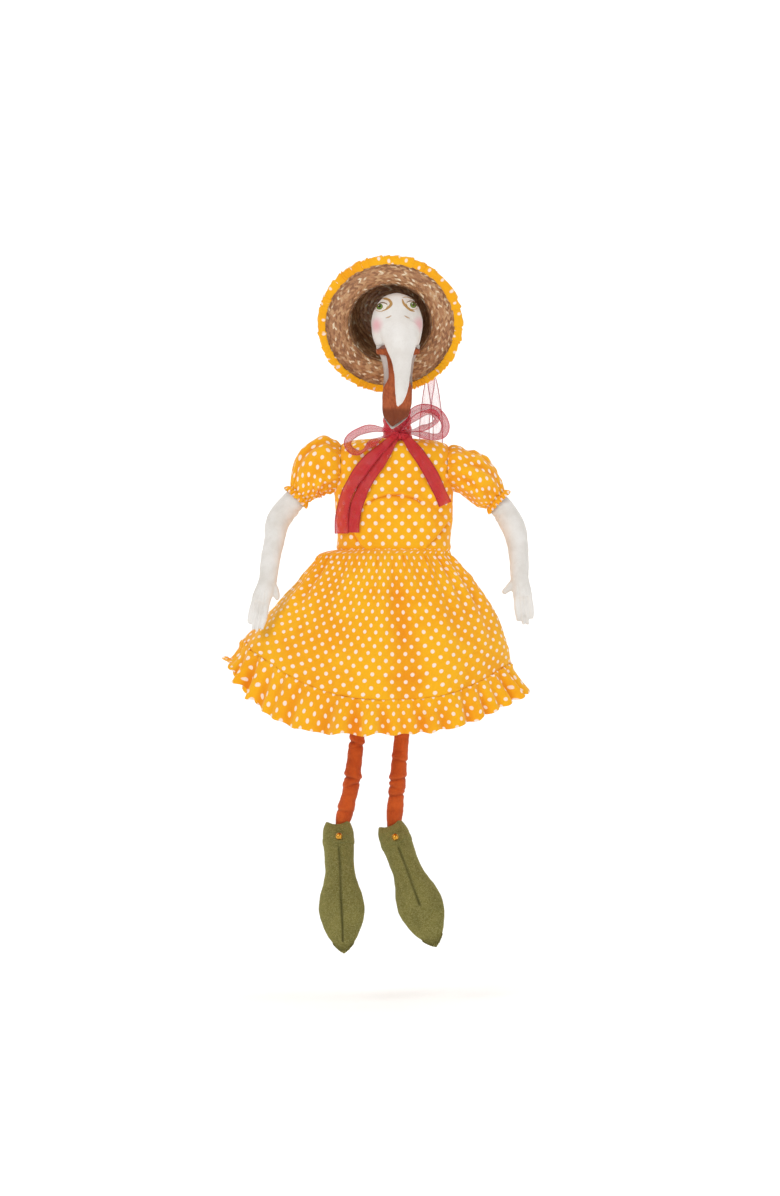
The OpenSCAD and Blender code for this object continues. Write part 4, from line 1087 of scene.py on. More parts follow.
def ellipse(cx, cz, a, b, turn=0.0, n=40, pinch=0.0):
    t = np.linspace(0, 2 * math.pi, n, endpoint=False)
    x, z = a * np.cos(t), b * np.sin(t) * (1 - pinch * np.abs(np.cos(t)) ** 3)
    r = math.radians(turn)
    return [(cx + u * math.cos(r) - v * math.sin(r), cz + u * math.sin(r) + v * math.cos(r)) for u,
            v in zip(x, z)]


def make_eyes():
    for name, white, iris in (("right", (-13.6, 91.6, 6.3, 4.4, 14), (-15.2, 92.3)),
                              ("left", (17.0, 93.4, 5.9, 4.3, -18), (18.0, 93.9))):
        cx, cz, a, b, turn = white
        patch(name + "_eye_white", ellipse(cx, cz, a, b, turn, pinch=0.45), "eye_white", 0.16)
        patch(name + "_eye_ring", ellipse(*iris, 3.5, 3.5), "pupil", 0.22)
        patch(name + "_eye_iris", ellipse(iris[0], iris[1] - 0.1, 3.1, 3.1), "iris", 0.28)
        patch(name + "_eye_pupil", ellipse(iris[0] + 0.1, iris[1] + 0.3, 1.5, 1.6), "pupil", 0.34)
        patch(name + "_eye_glint", ellipse(iris[0] - 0.9, iris[1] + 1.2, 0.7, 0.6, n=16), "glint", 0.42, 4)
        top = ellipse(cx, cz, a, b, turn, pinch=0.45)
        lid = [np.array(top[i]) + (0, 0.3) for i in (1, 5, 10, 15, 19)]
        stroke(name + "_upper_lid", lid, (0.35, 0.55, 0.6, 0.5, 0.25), "line", 0.3)
        low = [np.array(top[i]) for i in (21, 25, 30, 35, 39)]
        stroke(name + "_lower_lid", low, (0.15, 0.22, 0.26, 0.22, 0.15), "ochre", 0.26)
    stroke("right_lid_stroke", [(-11.5, 100.2), (-6.2, 98.6), (-3.8, 94.6), (-7.5, 90.0), (-13.2, 87.4)],
           (0.5, 1.2, 1.5, 1.1, 0.4), "ochre")
    stroke("left_lid_stroke", [(7.2, 99.4), (8.6, 95.0), (12.0, 91.3), (16.6, 88.0), (19.5, 87.2)],
           (0.5, 1.2, 1.5, 1.1, 0.4), "ochre")
    stroke("right_crease_line", [(-14.8, 100.0), (-9.5, 101.0), (-4.6, 99.0)], (0.25, 0.5, 0.25), "ochre")
    stroke("left_crease_line", [(7.6, 101.2), (12.6, 102.0), (18.0, 100.4)], (0.25, 0.5, 0.25), "ochre")
    stroke("right_nostril", [(-9.3, 80.2), (-6.5, 80.9), (-3.6, 82.4)], (0.35, 0.7, 0.35), "nostril")
    stroke("left_nostril", [(9.2, 82.4), (12.0, 80.8), (14.6, 79.8)], (0.35, 0.7, 0.35), "nostril")
    for k, (x, z, dx, dz) in enumerate(((-19.2, 94.2, -1.6, 1.2), (-19.4, 92.6, -1.8, 0.4),
                                        (-19.0, 90.8, -1.5, -0.8),
                                        (22.0, 95.6, 1.3, 1.2), (22.3, 94.0, 1.4, 0.4))):
        stroke(f"lash_{k}", [(x, z), (x + dx * 0.6, z + dz * 0.5), (x + dx, z + dz)], (0.22, 0.16, 0.08),
               "line", 0.2)


make_eyes()


def onto_face(rings):
    off = (rings[0] - FACE_P) @ BILL_DIR - 0.3
    rings[0] -= np.outer(off / (JAW_DIR @ BILL_DIR), JAW_DIR)
    return rings


def make_jaw():
    a = np.linspace(0, math.pi, 25)
    scoop = np.vstack([np.stack([-np.cos(a), -np.sin(a)], -1),
                       np.stack([np.cos(a), -0.5 * np.sin(a)], -1)[1:-1]])
    rings, s = swept(JAW_P, JAW_DIR, JAW, scoop, 90)
    rings = onto_face(rings)
    v = np.linspace(0, 1, 90)[:, None]
    lip = bell(np.abs(scoop[:, 1]), 0.18)[None, :]
    shift = 0.35 * ripple(rings[..., 0], rings[..., 2], 90, 14)
    rings = rings + (shift * (1 - lip))[..., None] * np.cross(JAW_DIR, X)
    rings[:, :, 0] += lip * 0.5 * ripple(rings[..., 2], 0 * rings[..., 2], 91, 13) * smooth01(v * 6)
    jaw = grid("jaw_skin", rings, MAT["jaw"], caps=True)
    work = bmesh.new()
    work.from_mesh(jaw.data)
    bmesh.ops.recalc_face_normals(work, faces=work.faces)
    work.to_mesh(jaw.data)
    work.free()
    dressed(jaw, "head", ["lower_bill"])

    inner = np.stack([-np.cos(a), -0.5 * np.sin(a)], -1)
    over = np.stack([np.cos(a) * 0.955, 0.14 - 0.42 * np.sin(a)], -1)[1:-1]
    lining = np.vstack([inner, over])
    rings, s = swept(JAW_P + np.array([0, -0.45, 0]), JAW_DIR, JAW, lining, 90)
    rings = onto_face(rings)
    # Below the corners of the mouth the white jaw shows beside the lining
    middle = rings[..., 0].mean(1, keepdims=True)
    along = s[:, 0, None]
    narrow = smooth01((along - 5) / 4) * (1 - smooth01((along - 30) / 14))
    share = 1 - narrow * np.where(rings[..., 0] < middle, 0.34, 0.24)
    rings[..., 0] = middle + (rings[..., 0] - middle) * share
    # Its corners round off, and it stops short of the white lip under the tip
    away = np.abs(rings[..., 0] - middle)
    corner = smooth01((away / away.max(1, keepdims=True) - 0.62) / 0.38) * (1 - smooth01(along / 9))
    shift = 5.5 * corner - 2.6 * smooth01((along - 66) / 20)
    rings = rings + shift[..., None] * JAW_DIR
    top = np.r_[np.zeros(len(inner)), np.sin(a)[1:-1]][None, :]
    x = (rings[..., 0] - rings[..., 0].mean(1, keepdims=True)) / 14
    # The lining is padded, creased down its middle and puckered along its stitched rim
    puff = 1.3 * top * (1 - bell(x, 0.16)) + 0.45 * ripple(rings[..., 0], rings[..., 2], 92, 11) * top
    pucker = 0.35 * np.sin(rings[..., 2] / 0.9) * bell(top - 0.15, 0.2) * (top > 0)
    rings = rings + ((puff + pucker) * smooth01(v * 5))[..., None] * np.cross(JAW_DIR, X)
    obj = grid("mouth_lining_cloth", rings, MAT["lining"], caps=True)
    work = bmesh.new()
    work.from_mesh(obj.data)
    bmesh.ops.recalc_face_normals(work, faces=work.faces)
    work.to_mesh(obj.data)
    work.free()
    dressed(obj, "head", ["mouth_lining"])


make_jaw()

for node, rounds in (("neck", 6),):
    obj = fuse("neck_skin", [cad_copy(node)], MAT["body"], 1.6, rounds)
    dressed(obj, "neck", [node])
obj = fuse("torso_skin", [cad_copy("torso")], MAT["body"], 2.4, 8)
swell(obj, 0.3 * ripple(coords(obj)[:, 0], coords(obj)[:, 2], 95, 20) - 0.4)
dressed(obj, "torso", ["torso"])

# ---------------------------------------------------------------- hat

HAT_C = np.array([-5.0, 7.0, 76.0])
HAT_TURN = Matrix.Rotation(math.radians(-67), 3, "X")
BRIM_R, CROWN_R, CROWN_H, STRAW_T = 70.3, 40.0, 42.0, 2.2
STRAW = [[70.3, -1], [62, 0.5], [48, 0], [41, 4], [39, 12], [37, 30], [31, 38], [20, 41.5], [0.4, 42]]
TURN = np.array(HAT_TURN)


def hat_world(p):
    return p @ TURN.T + HAT_C


def profile_normals(line):
    d = unit(np.gradient(line, axis=0))
    return np.stack([d[:, 1], -d[:, 0]], -1)


def plait(dist, angle, radius):
    """Height, tone and depth of plaited straw, by the distance along the profile and the angle."""
    wide, pitch = 4.3, 3.1
    row = np.floor(dist / wide)
    v = dist / wide - row
    middle = np.maximum(radius, 4.0)
    count = np.maximum(6, np.round(2 * math.pi * middle / pitch))
    half = v < 0.5
    y = np.abs(2 * v - 1)
    q = angle / (2 * math.pi) * count + np.where(half, 0.0, 0.5) + 0.75 * y + 0.37 * row
    k = np.floor(q)
    f = q - k
    strand = np.sqrt(np.maximum(0, 1 - (2 * f - 1) ** 2))
    ends = np.sqrt(np.maximum(0, 1 - y**6))
    high = 0.75 * strand * ends + 0.35 * (1 - y**2)
    key = np.sin(row * 12.9898 + np.mod(k, count) * 78.233 + half * 37.719) * 43758.5453
    tone = key - np.floor(key)
    return high + 0.45 * (1 - v), tone, strand * ends


def straw_zone(name, mat, start, stop, cols, step):
    """The plaited straw of part of the profile, on both faces, as one closed band."""
    line = resample(STRAW, 400)
    dist = np.r_[0, np.cumsum(np.linalg.norm(np.diff(line, axis=0), axis=1))]
    n = max(8, int((stop - start) / step))
    at = np.linspace(start, stop, n)
    inner = np.stack([np.interp(at, dist, line[:, 0]), np.interp(at, dist, line[:, 1])], -1)
    whole = profile_normals(line)
    normal = unit(np.stack([np.interp(at, dist, whole[:, 0]), np.interp(at, dist, whole[:, 1])], -1))
    angle = np.linspace(0, 2 * math.pi, cols, endpoint=False)
    a, dd = np.meshgrid(angle, at)
    # Every row keeps a whole number of strands, counted at the row's own middle
    row_mid = (np.floor(dd / 4.3) + 0.5) * 4.3
    radius = np.interp(row_mid, dist, line[:, 0])
    high, tone, depth = plait(dd, a, radius)
    wander = 0.5 * wavy(a, (3, 5, 7), 100) * smooth01((30 - dd) / 25)
    faces = []
    for side, base in ((1, 0.0), (-1, STRAW_T)):
        lift = -high + 0.9 if side > 0 else high - 0.9
        r = inner[:, 0, None] + normal[:, 0, None] * (base + lift)
        h = inner[:, 1, None] + normal[:, 1, None] * (base + lift) + wander
        faces.append(np.stack([np.maximum(r, 0.05) * np.cos(a), np.maximum(r, 0.05) * np.sin(a), h], -1))
    p = np.concatenate([faces[0], faces[1][::-1]])
    obj = grid(name, hat_world(np.concatenate([p, p[:1]])), MAT[mat])
    tones = np.concatenate([tone, tone[::-1], tone[:1]]).ravel()
    depths = np.concatenate([depth, depth[::-1], depth[:1]]).ravel()
    for key, values in (("strand", tones), ("depth", depths)):
        layer = obj.data.attributes.new(key, "FLOAT", "POINT")
        layer.data.foreach_set("value", values.astype(np.float32))
    work = bmesh.new()
    work.from_mesh(obj.data)
    bmesh.ops.remove_doubles(work, verts=work.verts, dist=1e-6)
    bmesh.ops.recalc_face_normals(work, faces=work.faces)
    work.to_mesh(obj.data)
    work.free()
    obj.data.polygons.foreach_set("use_smooth", [True] * len(obj.data.polygons))
    return obj


brim = straw_zone("straw_brim", "straw", 0.0, 30.1, 900, 0.55)
dressed(brim, "head", ["straw_hat"])
crown = straw_zone("straw_crown", "crown_straw_painted_shade", 30.1, 94.0, 420, 0.75)
dressed(crown, "head")


def make_trim():
    """The pleated dotted binding, folded over the edge of the brim."""
    cols = 1100
    across = np.array([[64.6, -2.3], [66.5, -2.7], [69, -2.6], [71.2, -2.2], [72.1, -1.0], [72.2, 1.2],
                       [71.6, 2.8],
                       [69.5, 3.6], [67, 3.9], [64.8, 4.0]])
    line = resample(across, 26)
    angle = np.linspace(0, 2 * math.pi, cols, endpoint=False)
    a, k = np.meshgrid(angle, np.arange(26))
    rng = np.random.default_rng(110)
    edges = np.sort(rng.uniform(0, 2 * math.pi, 58) * 0.35 + np.linspace(0, 2 * math.pi, 58,
                                                                         endpoint=False))
    edges = np.mod(edges, 2 * math.pi)
    edges.sort()
    slot = np.searchsorted(edges, a) % len(edges)
    left = edges[slot - 1]
    width = np.mod(edges[slot] - left, 2 * math.pi)
    f = np.mod(a - left, 2 * math.pi) / np.maximum(width, 1e-6)
    lap = f ** 1.4 * (1 - smooth01((f - 0.9) / 0.1))
    tall = rng.uniform(0.5, 1.6, 58)[slot]
    mid = line.mean(0)
    out = unit(line - mid)
    move = (lap * tall * 1.1 + 0.35 * ripple(a * 70, k, 111, 6)) - 0.3
    slip = (lap - 0.5) * 0.9 * tall * np.sin(np.pi * k / 25)
    r = line[:, 0, None] + out[:, 0, None] * move + slip * 0.4
    h = line[:, 1, None] + out[:, 1, None] * move * 0.7
    wander = 0.5 * wavy(a, (3, 5, 7), 100)
    p = hat_world(np.stack([r * np.cos(a), r * np.sin(a), h + wander], -1))
    jump = 9.6 * rng.uniform(0, 1, 58)[slot[0]]
    sink = 9.6 * rng.uniform(0, 1, 58)[slot[0]]
    run = np.linspace(0, 2 * math.pi * 71 * 1.2, cols + 1) + np.r_[jump, jump[:1]]
    drop = np.r_[0, np.cumsum(np.linalg.norm(np.diff(line, axis=0), axis=1))]
    uv = np.stack([np.tile(run, (26, 1)), drop[:, None] + np.r_[sink, sink[:1]]], -1) * MM
    obj = grid("brim_binding", p, MAT["binding"], uv=uv, thick=0.35)
    dressed(obj, "head", ["hat_trim"])


make_trim()

# ---------------------------------------------------------------- ribbon


def ribbon(name, middles, across, wide, mat, body, node=None,
           ripples=0.5, n=120, seed=0):
    """A strip of organza along points, with its width along the matching directions."""
    rows = resample(middles, n)
    w = unit(resample(across, n, np.r_[0, np.cumsum(np.linalg.norm(np.diff(np.array(middles, float),
                                                                           axis=0), axis=1))]))
    half = np.interp(np.linspace(0, 1, n), np.linspace(0, 1, np.size(wide)), np.ravel(wide)) / 2
    d = unit(np.gradient(rows, axis=0))
    w = unit(w - d * (w * d).sum(1, keepdims=True))
    normal = np.cross(d, w)
    u = np.linspace(-1, 1, 13)
    long = np.r_[0, np.cumsum(np.linalg.norm(np.diff(rows, axis=0), axis=1))]
    wave = ripples * ripple(long[:, None] + 0 * u, u[None, :] * 8 + 0 * long[:, None], 120 + seed, 22)
    p = rows[:, None] + w[:, None] * (half[:, None] * u)[..., None] + normal[:, None] * wave[..., None]
    uv = np.stack([np.tile(u, (n, 1)), np.tile((long * MM)[:, None], (1, 13))], -1)
    obj = grid(name, p, MAT[mat], wrap=False, uv=uv, thick=0.18)
    dressed(obj, body, [node] if node else ())
    return obj


def on_bodice(x, z, lift):
    return float(min(-23.2, bodice_front(np.array(x), np.array(z)))) - lift


def tail(name, route, wide, lift, node, seed):
    rows = resample([[x, 0, z] for x, z in route], 40)
    d = unit(np.gradient(rows, axis=0))
    w = np.cross(d, Y)
    middles, across = [], []
    for p, side in zip(rows, w):
        a, b = p + side * wide / 2, p - side * wide / 2
        a[1], b[1] = on_bodice(a[0], a[2], lift), on_bodice(b[0], b[2], lift)
        middles.append((a + b) / 2)
        across.append(a - b)
    # The ribbon starts bunched at the knot and opens to its full width
    widths = [wide * (0.5 + 0.5 * float(smooth01(k / 14))) * (1 + 0.07 * math.sin(k / 3.1 + 2 * seed))
              for k in range(len(middles))]
    return ribbon(name, middles, across, widths, "tail", "torso", node,
                  0.9, 160, seed)


tail("tail_right_outer_ribbon", [(2, -33), (-5, -41), (-19, -54), (-36, -74), (-49, -98), (-53, -118),
                                 (-53, -134)], 13, 4.2,
     "ribbon_tail_right_outer", 1)
tail("tail_right_inner_ribbon", [(4, -34), (-1, -42), (-13, -59), (-25, -77), (-36, -100), (-41, -118),
                                 (-41, -133)], 13, 2.4,
     "ribbon_tail_right_inner", 2)
tail("tail_left_ribbon", [(7, -33), (12, -40), (26, -59), (42, -87), (50, -105)], 14, 2.2,
     "ribbon_tail_left", 3)


def loop_band(name, route, node, seed, front=-27.5, tilt=0.62):
    """A bow loop: a band tilted so that both its edges show, from the knot and back to it."""
    rows = resample([[x, 0, z] for x, z in route], 60)
    for _ in range(6):
        rows[1:-1] = (rows[:-2] + rows[1:-1] * 2 + rows[2:]) / 4
    middle = rows.mean(0)
    centre, across, widths = [], [], []
    for k, p in enumerate(rows):
        part = k / 59
        near = min(1.0, 4 * part, 4 * (1 - part))
        outward = unit(np.array([p[0] - middle[0], 0, p[2] - middle[2]]))
        centre.append([p[0], front - 5.0 * math.sin(math.pi * part) + 3.0 * part, p[2]])
        across.append(outward * tilt - Y * math.sqrt(1 - tilt * tilt))
        widths.append(12.8 * (0.35 + 0.65 * float(smooth01(near))))
    return ribbon(name, centre, across, widths, "loop", "torso", node, 0.7,
                  170, seed)


loop_band("bow_loop_right_ribbon", [(2, -33), (-10, -31), (-25, -29.5), (-40, -35), (-48, -43),
                                    (-46, -50), (-36, -54),
                                    (-24, -45), (-10, -37), (3, -35)], "bow_loop_right", 5)
loop_band("bow_loop_left_ribbon", [(7, -32), (12, -20), (20, -12), (31, -9), (43, -14), (50.5, -26),
                                   (48, -36),
                                   (37, -38), (22, -34), (7, -34)], "bow_loop_left", 6)
loop_band("bow_inner_left_ribbon", [(7, -31), (15, -24), (26, -16), (38, -13), (42, -19), (34, -27),
                                    (20, -31),
                                    (7, -33)], None, 7, -29.0, 0.5)


def make_knot():
    """The neck wrap and the knot, gathered from the same ribbon."""
    rows, cols = 60, 200
    t = np.linspace(0, 2 * math.pi, cols, endpoint=False)
    v = np.linspace(0, 1, rows)
    tt, vv = np.meshgrid(t, v)
    folds = 0.7 * np.sin(vv * 24 + 1.2 * np.sin(tt * 2) + 2 * np.sin(tt)) + 0.4 * wavy(tt, (9, 13), 130)
    r = 13.1 + folds * 0.8 + 0.6 * np.sin(math.pi * vv) + 1.8 * (1 - vv) ** 3
    z = mix(-40.4, -6.0, vv) + 0.6 * np.sin(tt + 1) * (1 - vv)
    p = np.stack([NECK_X + r * np.cos(tt), r * np.sin(tt), z], -1)
    u = np.tile(np.linspace(-1, 1, rows)[:, None], (1, cols + 1))
    long = np.tile(np.linspace(0, 84, cols + 1)[None], (rows, 1)) * MM
    obj = grid("neck_wrap_ribbon", p, MAT["knot"], uv=np.stack([u, long], -1), thick=0.3, flip=True)
    dressed(obj, "torso", ["neck_ribbon"])

    t = np.linspace(0, math.pi, 60)
    q = np.linspace(0, 2 * math.pi, 80, endpoint=False)
    qq, tt = np.meshgrid(q, t)
    pleat = 0.55 * np.sin(9 * qq + 2.4 * np.sin(tt * 2)) * np.sin(tt) + 0.35 * np.sin(17 * qq + 1)
    rad = 7.0 + pleat
    p = np.stack([5 + rad * np.sin(tt) * np.cos(qq) * 1.15, -19.5 + rad * np.cos(tt) * 1.25,
                  -33.5 + rad * np.sin(tt) * np.sin(qq) * 1.1], -1)
    uv = np.stack([0.5 * np.sin(np.tile(np.r_[q, 2 * math.pi], (60, 1))),
                   np.tile(np.linspace(0, 0.02, 60)[:, None], (1, 81))], -1)
    obj = grid("knot_cloth", p, MAT["knot"], caps=True, uv=uv)
    dressed(obj, "torso", ["bow_knot"])


make_knot()

# Hat band, and the sheer ribbon ends that hang from it behind the shoulder
angle = np.linspace(0, 2 * math.pi, 241)[:-1]
rows = np.linspace(0, 1, 24)
aa, vv = np.meshgrid(angle, rows)
band_r = mix(41.9, 40.0, vv) + 0.35 * np.sin(vv * 17 + 2 * np.sin(aa * 3)) + 0.2 * wavy(aa, (7, 11), 140)
p = hat_world(np.stack([band_r * np.cos(aa), band_r * np.sin(aa), mix(12, 29, vv)], -1))
u = np.tile(np.linspace(-1, 1, 24)[:, None], (1, 241))
long = np.tile(np.linspace(0, 0.26, 241)[None], (24, 1))
band = grid("hat_band_ribbon", p, MAT["knot"], uv=np.stack([u, long], -1), thick=0.25)
dressed(band, "head", ["hat_band"])

for name, x0, x1, y, node, seed in (("hat_tail_outer_ribbon", 37, 43, 0, "hat_ribbon_tail_outer", 8),
                                    ("hat_tail_inner_ribbon", 36, 30, 1.5, "hat_ribbon_tail_inner", 9)):
    middles = [[x0, 47 + y, 40], [x0, 42 + y, 26], [mix(x0, x1, 0.5), 41 + y, 5], [x1, 41 + y, -20],
               [x1, 41 + y, -48]]
    rows = resample(middles, 120)
    d = unit(np.gradient(rows, axis=0))
    w = unit(np.cross(d, Y))
    u = np.linspace(-1, 1, 13)
    half = mix(2.2, 5.2, smooth01((40 - rows[:, 2]) / 26))
    long = np.r_[0, np.cumsum(np.linalg.norm(np.diff(rows, axis=0), axis=1))]
    wave = 0.9 * ripple(long[:, None] + 0 * u, u[None, :] * 6 + 0 * long[:, None], seed, 26)
    p = rows[:, None] + w[:, None] * (half[:, None] * u)[..., None] + (Y * wave[..., None])
    uv = np.stack([np.tile(u, (120, 1)), np.tile((long * MM)[:, None], (1, 13))], -1)
    obj = grid(name, p, MAT["sheer"], wrap=False, uv=uv, thick=0.15)
    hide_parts(node)
    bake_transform(obj)

# ---------------------------------------------------------------- legs

LEAN = {"right": (6.6, 14.0), "left": (5.2, 5.0)}
THIGH_L, SHIN_L, LEG_R = 191.0, 44.0, 8.2


def leaning(a):
    a = math.radians(a)
    return np.array([-math.sin(a), 0, -math.cos(a)])


def leg_points(side):
    hip = np.array([BODY_X + SIDE[side] * 20.5, 0, -196.0])
    thigh, shin = (leaning(a) for a in LEAN[side])
    knee = hip + thigh * THIGH_L
    return hip, knee, knee + shin * SHIN_L, thigh, shin


def make_leg(side):
    hip, knee, _, thigh, shin = leg_points(side)
    stations = [[*(hip + thigh * a), r, r - 0.2] for a, r in
                ((3, 5.2), (7, 7.6), (14, 9.2), (21, 9.8), (60, 9.0), (95, 8.4), (132, 7.5), (160, 7.6),
                 (176, 8.0), (186, 8.2))]
    stations += [[*(knee + shin * a), r, r - 0.5] for a, r in
                 ((5, 7.9), (14, 7.8), (22, 8.3), (30, 8.0), (37, 7.2), (43, 6.2), (48, 5.0))]
    rings, centre, _, t = limb(stations, 300, 40)
    z = rings[..., 2]
    c, s = np.cos(t)[None, :], np.sin(t)[None, :]
    out = unit(rings - centre[:, None])
    # Creases where the stuffing is pinched, each slanted and deeper on one side
    pinches = (((-343, 1.0, 0.25, 0.9), (-347, 0.5, -0.2, -0.6), (-378, 1.5, 0.2, 0.4),
                (-385, 1.0, -0.3, -0.7),
                (-411, 0.6, 0.2, 1)) if side == "right" else
               ((-360, 0.8, 0.2, -1), (-379, 1.3, -0.15, 0.2), (-388, 0.7, 0.25, 0.8),
                (-395, 1.0, -0.1, -0.6)))
    move = 0.3 * ripple(c * 9 + 0 * z, z, 150 + (side == "left"), 12) + 0.15 * ripple(s * 9 + 0 * z, z,
                                                                                      152, 6)
    for height, depth, slant, lean in pinches:
        where = z - height - slant * c * LEG_R
        move -= 1.5 * depth * bell(where, 1.4) * (0.65 + 0.35 * lean * c)
        move += 0.6 * depth * bell(where - 3.4, 2.8)
    for height in np.arange(-230, -335, -19):
        move -= 0.5 * bell(z - height - 1.5 * c, 1.6)
    rings = rings + out * move[..., None]
    obj = grid(side + "_leg_skin", rings, MAT["legs"], caps=True)
    # Painted shade in the pinched creases of the leg
    tint_hollows(obj, np.append(move.ravel(), (0, 0)), 2.0)
    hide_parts(side + "_thigh", side + "_shin")
    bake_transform(obj)


for side in ("right", "left"):
    make_leg(side)

# ---------------------------------------------------------------- shoes

SHOE_TURN = {"right": -3.0, "left": -21.0}
SHOE_SHIFT = {"right": -3.0, "left": -1.5}
SHOE_W, SHOE_K, SOLE_BACK = 45.0, 138 / 141, 12.0
SHOE = [[-6, 0.27, 12.5], [0, 0.32, 14.5], [25, 0.33, 14.5], [44, 0.325, 14], [58, 0.38, 13],
        [73, 0.48, 12],
        [88, 0.5, 10], [103, 0.42, 6], [116, 0.28, 1.6], [125, 0.13, -3.6], [128.5, 0.04, -6]]


def shoe_matrix(side):
    _, _, ankle, _, _ = leg_points(side)
    turn = Matrix.Rotation(math.radians(SHOE_TURN[side]), 3, "Y") @ Matrix.Rotation(math.radians(-19), 3,
                                                                                    "X")
    return np.array(turn), ankle + X * SHOE_SHIFT[side]


def shoe_world(p, side):
    turn, place = shoe_matrix(side)
    return p @ turn.T + place


def shoe_local(stations, t, grow=0.0):
    s = np.asarray(stations)
    wide = (s[:, 1, None] * SHOE_W + grow) * spow(np.cos(t), 0.9)
    sn = np.sin(t)
    deep = np.where(sn < 0, (s[:, 2, None] + grow) * sn, (SOLE_BACK + grow) * np.abs(sn) ** 0.45)
    return np.stack([wide, deep, -s[:, 0, None] * SHOE_K + 0 * wide], -1)


def make_shoe(side):
    t = np.linspace(0, 2 * math.pi, 96, endpoint=False)
    stations = resample(SHOE, 170, [r[0] for r in SHOE])
    p = shoe_local(stations, t)
    # The collar dips to a V at the front and rises to a soft point at either side
    front = np.clip(-np.sin(t), 0, 1)[None, :]
    shape = np.abs(np.cos(t))[None, :]
    near_top = 1 - smooth01((stations[:, 0, None] + 6) / 14)
    p[..., 2] -= near_top * (5.0 * front ** 2.2 - 0.8 * bell(shape - 0.8, 0.3))
    x, along = p[..., 0], stations[:, 0, None] + 0 * p[..., 0]
    out = unit(p - p.mean(1, keepdims=True))
    move = 0.3 * ripple(x, along, 160, 20) + 0.15 * ripple(x + p[..., 1], along, 161, 8)
    facing = (p[..., 1] < 0)
    seam_end = 128 if side == "right" else 90
    seam = bell(x - 0.6 * np.sin(along / 30),
                0.9) * facing * smooth01((along - 20) / 5) * smooth01((seam_end - along) / 4)
    move -= 1.7 * seam
    move += 0.6 * bell(np.abs(x) - 2.3,
                       1.2) * facing * smooth01((along - 20) / 5) * smooth01((seam_end - along) / 4)
    # Side seam where the upper meets the sole
    move -= 0.5 * bell(p[..., 1] - 9.5, 0.9)
    p = p + out * move[..., None]
    upper = grid(side + "_shoe_felt", shoe_world(p, side), MAT["felt"])
    # Painted shade along the groove of the seam
    tint_hollows(upper, -seam, 1.0)
    m = upper.modifiers.new("thickness", "SOLIDIFY")
    m.thickness = 1.5 * MM
    m.offset = -1
    dressed(upper, side + "_shoe", [side + "_shoe_upper"])

    # Sole: a second layer of felt with a soft rounded edge
    outline = resample([[s[0], s[1] * SHOE_W * 0.86] for s in SHOE[1:10]], 60)
    rows = []
    for edge, back in ((0.0, 12.1), (0.6, 12.1), (1.0, 12.5), (1.02, 13.1), (0.97, 13.8), (0.6, 14.0),
                       (0.0, 14.0)):
        left = [[-w * edge, back, -a * SHOE_K] for a, w in outline]
        right = [[w * edge, back, -a * SHOE_K] for a, w in outline[::-1]]
        rows.append(left + right)
    sole = grid(side + "_sole_felt", shoe_world(np.array(rows), side), MAT["felt"])
    work = bmesh.new()
    work.from_mesh(sole.data)
    bmesh.ops.remove_doubles(work, verts=work.verts, dist=1e-6)
    bmesh.ops.recalc_face_normals(work, faces=work.faces)
    work.to_mesh(sole.data)
    work.free()
    dressed(sole, side + "_shoe", [side + "_shoe_sole"])

    # Strap with its rounded tab, over the instep
    rows = []
    at = np.linspace(9, 19, 14)
    edge = np.sin(np.linspace(0, math.pi, 14)) ** 0.35
    arc = np.radians(np.linspace(188, 352, 90))
    for face, grow in (("under", 0.15), ("over", 1.5)):
        for a, e in zip(at if face == "under" else at[::-1], edge):
            lift = grow if face == "under" else 0.15 + 1.35 * e
            rows.append(shoe_local([[a, mix(0.32, 0.33, a / 25), 14.5]], arc, lift)[0])
    rows.append(rows[0])
    p = np.array(rows)
    strap = grid(side + "_strap_felt", shoe_world(p, side), MAT["felt"], wrap=False)
    dressed(strap, side + "_shoe", [side + "_shoe_strap"])
    q = np.linspace(0, 2 * math.pi, 60, endpoint=False)
    rows = []
    for f, y in ((0.0, -14.9), (0.9, -14.9), (1.0, -15.4), (1.0, -16.3), (0.94, -16.9), (0.5, -17.1),
                 (0.0, -17.1)):
        tab_x = 2 + 8.6 * spow(np.cos(q), 0.75) * f
        tab_z = -14 + 5.3 * spow(np.sin(q), 0.8) * f
        bend = 0.022 * (tab_x - 1) ** 2
        rows.append(np.stack([tab_x, y + bend, tab_z], -1))
    tab = grid(side + "_tab_felt", shoe_world(np.array(rows), side), MAT["felt"])
    work = bmesh.new()
    work.from_mesh(tab.data)
    bmesh.ops.remove_doubles(work, verts=work.verts, dist=1e-6)
    bmesh.ops.recalc_face_normals(work, faces=work.faces)
    work.to_mesh(tab.data)
    work.free()
    dressed(tab, side + "_shoe")


for side in ("right", "left"):
    make_shoe(side)

# ---------------------------------------------------------------- carried-over CAD nodes

for name, node in frame["nodes"].items():
    if node.hide_render:
        continue
    if "bead" in name:
        mat = MAT["gold"]
    elif "dowel" in name:
        mat = MAT["wood"]
    else:
        mat = MAT["thread"]
    node.data.materials.clear()
    node.data.materials.append(mat)
    node.data.polygons.foreach_set("use_smooth", [True] * len(node.data.polygons))

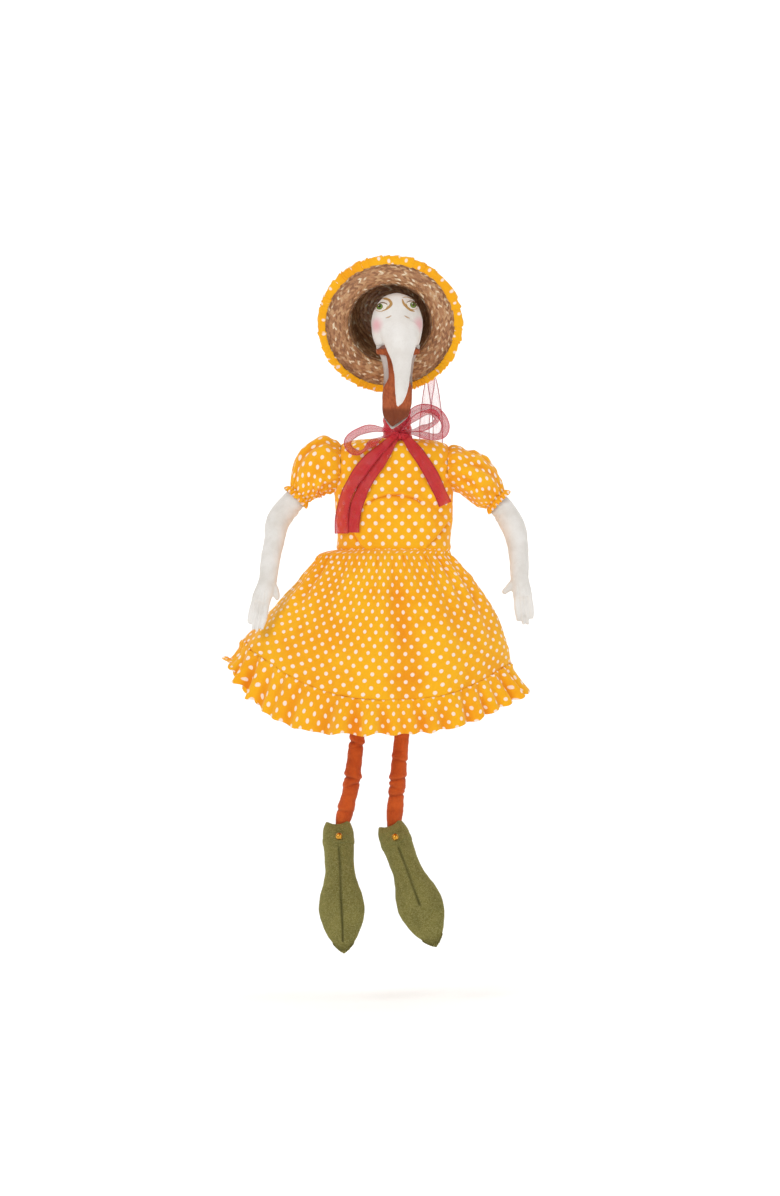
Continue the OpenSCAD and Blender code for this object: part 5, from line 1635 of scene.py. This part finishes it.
# ---------------------------------------------------------------- stage, light and camera

paper = Shader("studio_paper", Roughness=0.95)
tooth = paper.noise(paper.object(), 60.0, 3.0)
paper.set(Base_Color=paper.colour(tooth, srgb("FDFDFC"), srgb("F8F8F6")),
          Normal=paper.bump(tooth, 0.05, 0.001),
          Emission_Color=srgb("FFFFFF"))
paper.bsdf.inputs["Emission Strength"].default_value = 0.22
bend = []
for y, z in ((-2.6, -0.60), (0.55, -0.60), (0.75, -0.57), (0.9, -0.47), (0.95, -0.3), (0.95, 2.2)):
    bend.append([[x * 1000, y * 1000, z * 1000] for x in (-4, -2, 0, 2, 4)])
sweep = grid("studio_sweep", np.array(bend), paper.mat, wrap=False)

world = bpy.data.worlds.new("studio")
scene.world = world
world.use_nodes = True
world.node_tree.nodes["Background"].inputs["Color"].default_value = (1, 1, 1, 1)
world.node_tree.nodes["Background"].inputs["Strength"].default_value = 0.52


def area_light(name, place, aim, size, power):
    light = bpy.data.lights.new(name, "AREA")
    light.shape = "RECTANGLE"
    light.size, light.size_y = size
    light.energy = power
    obj = bpy.data.objects.new(name, light)
    scene.collection.objects.link(obj)
    obj.location = place
    obj.rotation_euler = (Vector(aim) - Vector(place)).to_track_quat("-Z", "Y").to_euler()
    return obj


area_light("key", (-1.3, -1.9, 1.1), (0, 0, -0.15), (1.1, 1.1), 17)
area_light("fill", (1.7, -1.6, 0.2), (0, 0, -0.25), (1.4, 1.4), 7)
area_light("top", (0.2, -0.2, 1.9), (0, 0, -0.2), (1.2, 1.2), 7)

camera_data = bpy.data.cameras.new("camera")
camera = bpy.data.objects.new("camera", camera_data)
scene.collection.objects.link(camera)
scene.camera = camera
LENS, SENSOR, FRAME_HEIGHT = 135.0, 36.0, 1.196
camera_data.lens = LENS
camera_data.sensor_width = SENSOR
camera.location = (-0.005, -FRAME_HEIGHT * LENS / SENSOR, -0.198)
camera.rotation_euler = (math.radians(90), 0, 0)
camera_data.clip_end = 50
scene.view_settings.view_transform = "Standard"
